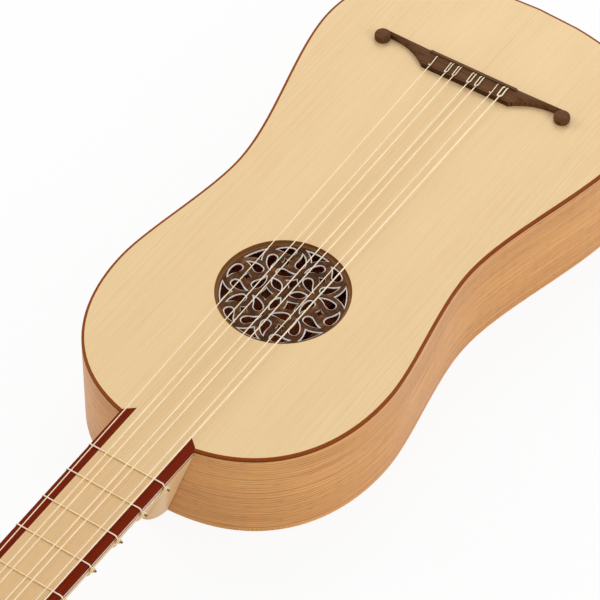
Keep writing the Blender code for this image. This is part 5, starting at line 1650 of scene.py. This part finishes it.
def tie(number):
    """Route of a string's tie: under the ridge, back out in front of it, round itself and up again."""
    radius = STRING_RADII[number]
    lift = AIR + radius
    enter, leave, mouth, back = tie_axes(number)
    half = mouth.x - enter.x
    spare = AIR + 2 * radius
    cross_z = enter.z + spare + AIR / 2

    def over(x, y):
        return Vector((x, y, on_slope(x, y) + lift * TIE_RIDE))

    turn_y = enter.y + TIE_TURN_LENGTH
    route = [
        enter, leave, leave + Vector((half * 0.2, lift, lift * 0.4)), back + Vector((0, lift, -lift * 0.4)),
        back, mouth, over(mouth.x, mouth.y - lift * 2), over(mouth.x, turn_y),
        Vector((enter.x + half * TIE_CROSS_SHARE, enter.y + TIE_CROSS_LENGTH, cross_z)),
        Vector((enter.x, enter.y - TIE_OVERHANG, cross_z + radius * 0.2)),
    ]
    if LOOP_HALF_WIDTHS[number] == 0:
        end = Vector((enter.x - spare, enter.y + SHORT_TIE_LENGTH / 2, cross_z - AIR))
        return route + [end, over(end.x, enter.y + SHORT_TIE_LENGTH)]
    return route + [
        Vector((enter.x - half * TIE_CROSS_SHARE, enter.y + TIE_CROSS_LENGTH, cross_z)),
        over(enter.x - half, turn_y),
        over(enter.x - half, mouth.y - lift * 2), over(enter.x - half * 0.7, mouth.y - lift),
        over(mouth.x - spare - AIR, mouth.y - lift * 0.6),
    ]


def make_strings():
    """Each string: over the nut, along the neck, through the bridge, back and tied round itself."""
    centres = [centre for centre, s in peg_centres()]
    for number, radius in enumerate(STRING_RADII):
        order = PEG_STRINGS.index(number + 1)
        route, end, foot, inward = winding_route(centres[order], order)
        x, ride = nut_string_x(number), NUT_RISE + AIR + radius
        points = [centres[order] + end] + [Vector((x, NUT_Y - NUT_THICKNESS * bearing, ride))
                                           for bearing in (NUT_REAR_BEARING, NUT_FRONT_BEARING)]
        name = f"course_string_{number + 1}"
        mesh = cord(name, [points + tie(number)], radius, "string", radius * 2)
        present(name, mesh, ("string",), "guitar", f"string_{number + 1}", crisp=CORD_CRISP)


# Studio

SENSOR_WIDTH = 36
VIEW_REACH = 20
LAMP_AIM = Vector((0, -0.15, 0.05))
FLOOR_GLOW = 0.90


def set_camera():
    s = studio()
    camera = bpy.data.cameras.new("camera")
    camera.sensor_width = SENSOR_WIDTH
    camera.lens = s.lens
    camera.clip_end = VIEW_REACH
    item = link("camera", camera)
    yaw, pitch, roll = s.camera_aim
    ahead = Vector((math.sin(yaw) * math.cos(pitch), math.cos(yaw) * math.cos(pitch), -math.sin(pitch)))
    right = Vector((math.cos(yaw), -math.sin(yaw), 0))
    up = right.cross(ahead)
    across = right * math.cos(roll) + up * math.sin(roll)
    upward = up * math.cos(roll) - right * math.sin(roll)
    spot = Matrix((across, upward, -ahead)).transposed().to_4x4()
    spot.translation = Vector(s.camera_place)
    item.matrix_world = FACE @ spot
    bpy.context.scene.camera = item


def lamp(name, place, size, power):
    light = bpy.data.lights.new(name, "AREA")
    light.size = size
    light.energy = power
    item = link(name, light)
    item.location = place
    item.rotation_euler = (LAMP_AIM - Vector(place)).to_track_quat("-Z", "Y").to_euler()


def seen_directly(w):
    """1 on rays from the camera, off glossy things and through clear ones, and 0 on the light's own."""
    path = w.add("ShaderNodeLightPath").outputs
    bounced = w.math("MAXIMUM", path["Is Glossy Ray"], path["Is Transmission Ray"])
    return w.math("MAXIMUM", path["Is Camera Ray"], bounced)


def floor_coat():
    """Pale paper that still shows the object's shadow."""
    coat, w, shader = new_coat("floor_paper")
    shader.inputs["Base Color"].default_value = (0.86, 0.86, 0.86, 1)
    shader.inputs["Roughness"].default_value = 0.9
    w.emboss(shader, w.noise(w.place(), PAPER_SPOTS), 0.1, 0.0002)
    glow = w.add("ShaderNodeEmission", {"Color": (1, 1, 1, 1), "Strength": 1.0}).outputs[0]
    share = w.math("MULTIPLY", seen_directly(w), FLOOR_GLOW)
    both = w.add("ShaderNodeMixShader", {0: share, 1: shader.outputs[0], 2: glow}).outputs[0]
    w.feed(coat.node_tree.nodes["Material Output"].inputs["Surface"], both)
    return coat


def make_floor():
    half = studio().floor_size / 2
    bm = bmesh.new()
    bm.faces.new([bm.verts.new(corner) for corner in
                  ((-half, -half, 0), (half, -half, 0), (half, half, 0), (-half, half, 0))])
    mesh = bpy.data.meshes.new("floor")
    bm.to_mesh(mesh)
    bm.free()
    mesh.materials.append(floor_coat())
    link("floor", mesh)


def make_sky():
    """Even light from all round, and a white background."""
    world = bpy.data.worlds.new("studio_air")
    world.use_nodes = True
    w = Wiring(world.node_tree)
    air = world.node_tree.nodes["Background"]
    air.inputs["Color"].default_value = (1, 1, 1, 1)
    w.feed(air.inputs["Strength"], w.span(seen_directly(w), 0.0, 1.0, studio().sky, 1.0, "LINEAR"))
    bpy.context.scene.world = world


def make_studio():
    s = studio()
    bpy.context.scene.view_settings.view_transform = "Standard"
    set_camera()
    make_floor()
    lamp("key", (-0.5, 1.3, 1.6), 1.2, s.key_power)
    lamp("bass_side", (2.0, -0.2, 1.1), 1.2, s.side_power)
    lamp("treble_side", (-2.0, -0.4, 1.1), 1.2, s.side_power)
    lamp("fill", (0.9, -1.6, 1.9), 1.5, s.fill_power)
    make_sky()


# Add-on

class GUITAR_OT_soundboard(bpy.types.Operator):
    """Spruce board with its tongue up the neck and its rose hole"""
    bl_idname = "guitar.soundboard"
    bl_label = "Soundboard"

    def execute(self, context):
        make_soundboard()
        return {"FINISHED"}


class GUITAR_OT_sides(bpy.types.Operator):
    """Bent ribs and the dark bindings over them"""
    bl_idname = "guitar.sides"
    bl_label = "Ribs and bindings"

    def execute(self, context):
        make_ribs()
        make_bindings()
        return {"FINISHED"}


class GUITAR_OT_back(bpy.types.Operator):
    """Two halves of the back and the strip between them"""
    bl_idname = "guitar.back"
    bl_label = "Back"

    def execute(self, context):
        make_back()
        return {"FINISHED"}


class GUITAR_OT_inside(bpy.types.Operator):
    """Bare wood for blocks, linings and bars"""
    bl_idname = "guitar.inside"
    bl_label = "Inner pieces"

    def execute(self, context):
        dress_inside()
        return {"FINISHED"}


class GUITAR_OT_rose(bpy.types.Operator):
    """Pierced rose and its parchment"""
    bl_idname = "guitar.rose"
    bl_label = "Rose"

    def execute(self, context):
        make_rose()
        return {"FINISHED"}


class GUITAR_OT_neck(bpy.types.Operator):
    """Neck with its heel"""
    bl_idname = "guitar.neck"
    bl_label = "Neck"

    def execute(self, context):
        make_neck()
        return {"FINISHED"}


class GUITAR_OT_fingerboard(bpy.types.Operator):
    """Fingerboard panel and its dark edge strips"""
    bl_idname = "guitar.fingerboard"
    bl_label = "Fingerboard"

    def execute(self, context):
        make_fingerboard()
        return {"FINISHED"}


class GUITAR_OT_nut(bpy.types.Operator):
    """Bone nut with string grooves"""
    bl_idname = "guitar.nut"
    bl_label = "Nut"

    def execute(self, context):
        make_nut()
        return {"FINISHED"}


class GUITAR_OT_frets(bpy.types.Operator):
    """Eight tied gut frets"""
    bl_idname = "guitar.frets"
    bl_label = "Frets"

    def execute(self, context):
        make_frets()
        return {"FINISHED"}


class GUITAR_OT_bridge(bpy.types.Operator):
    """Tie bridge with its arms and knobs"""
    bl_idname = "guitar.bridge"
    bl_label = "Bridge"

    def execute(self, context):
        make_bridge()
        return {"FINISHED"}


class GUITAR_OT_pegbox(bpy.types.Operator):
    """Curved pegbox with its finial"""
    bl_idname = "guitar.pegbox"
    bl_label = "Pegbox"

    def execute(self, context):
        make_pegbox()
        return {"FINISHED"}


class GUITAR_OT_pegs(bpy.types.Operator):
    """Tuning pegs and the windings on them"""
    bl_idname = "guitar.pegs"
    bl_label = "Pegs"

    def execute(self, context):
        make_pegs()
        return {"FINISHED"}


class GUITAR_OT_strings(bpy.types.Operator):
    """Seven strings with their ties"""
    bl_idname = "guitar.strings"
    bl_label = "Strings"

    def execute(self, context):
        make_strings()
        return {"FINISHED"}


class GUITAR_OT_studio(bpy.types.Operator):
    """Camera, lamps, floor and background"""
    bl_idname = "guitar.studio"
    bl_label = "Studio"

    def execute(self, context):
        make_studio()
        return {"FINISHED"}


OPERATORS = (
    GUITAR_OT_soundboard, GUITAR_OT_sides, GUITAR_OT_back, GUITAR_OT_inside, GUITAR_OT_rose, GUITAR_OT_neck,
    GUITAR_OT_fingerboard, GUITAR_OT_nut, GUITAR_OT_frets, GUITAR_OT_bridge, GUITAR_OT_pegbox, GUITAR_OT_pegs,
    GUITAR_OT_strings, GUITAR_OT_studio,
)


class GUITAR_PT_panel(bpy.types.Panel):
    """Lists the guitar's settings and the steps that make it"""
    bl_idname = "GUITAR_PT_panel"
    bl_label = "Renaissance Guitar"
    bl_space_type = "VIEW_3D"
    bl_region_type = "UI"
    bl_category = "Guitar"

    def draw(self, context):
        for settings in (colours(), details(), studio()):
            box = self.layout.box()
            for name in settings.__annotations__:
                box.prop(settings, name)
        for operator in OPERATORS:
            self.layout.operator(operator.bl_idname)


CLASSES = (GuitarColours, GuitarDetails, GuitarStudio, *OPERATORS, GUITAR_PT_panel)


def register():
    for item in CLASSES:
        bpy.utils.register_class(item)
    bpy.types.Scene.guitar_colours = bpy.props.PointerProperty(type=GuitarColours)
    bpy.types.Scene.guitar_details = bpy.props.PointerProperty(type=GuitarDetails)
    bpy.types.Scene.guitar_studio = bpy.props.PointerProperty(type=GuitarStudio)


def unregister():
    del bpy.types.Scene.guitar_studio
    del bpy.types.Scene.guitar_details
    del bpy.types.Scene.guitar_colours
    for item in reversed(CLASSES):
        bpy.utils.unregister_class(item)


def main():
    register()
    bpy.ops.guitar.soundboard()
    bpy.ops.guitar.sides()
    bpy.ops.guitar.back()
    bpy.ops.guitar.inside()
    bpy.ops.guitar.rose()
    bpy.ops.guitar.neck()
    bpy.ops.guitar.fingerboard()
    bpy.ops.guitar.nut()
    bpy.ops.guitar.frets()
    bpy.ops.guitar.bridge()
    bpy.ops.guitar.pegbox()
    bpy.ops.guitar.pegs()
    bpy.ops.guitar.strings()
    bpy.ops.guitar.studio()


if __name__ == "__main__":
    main()
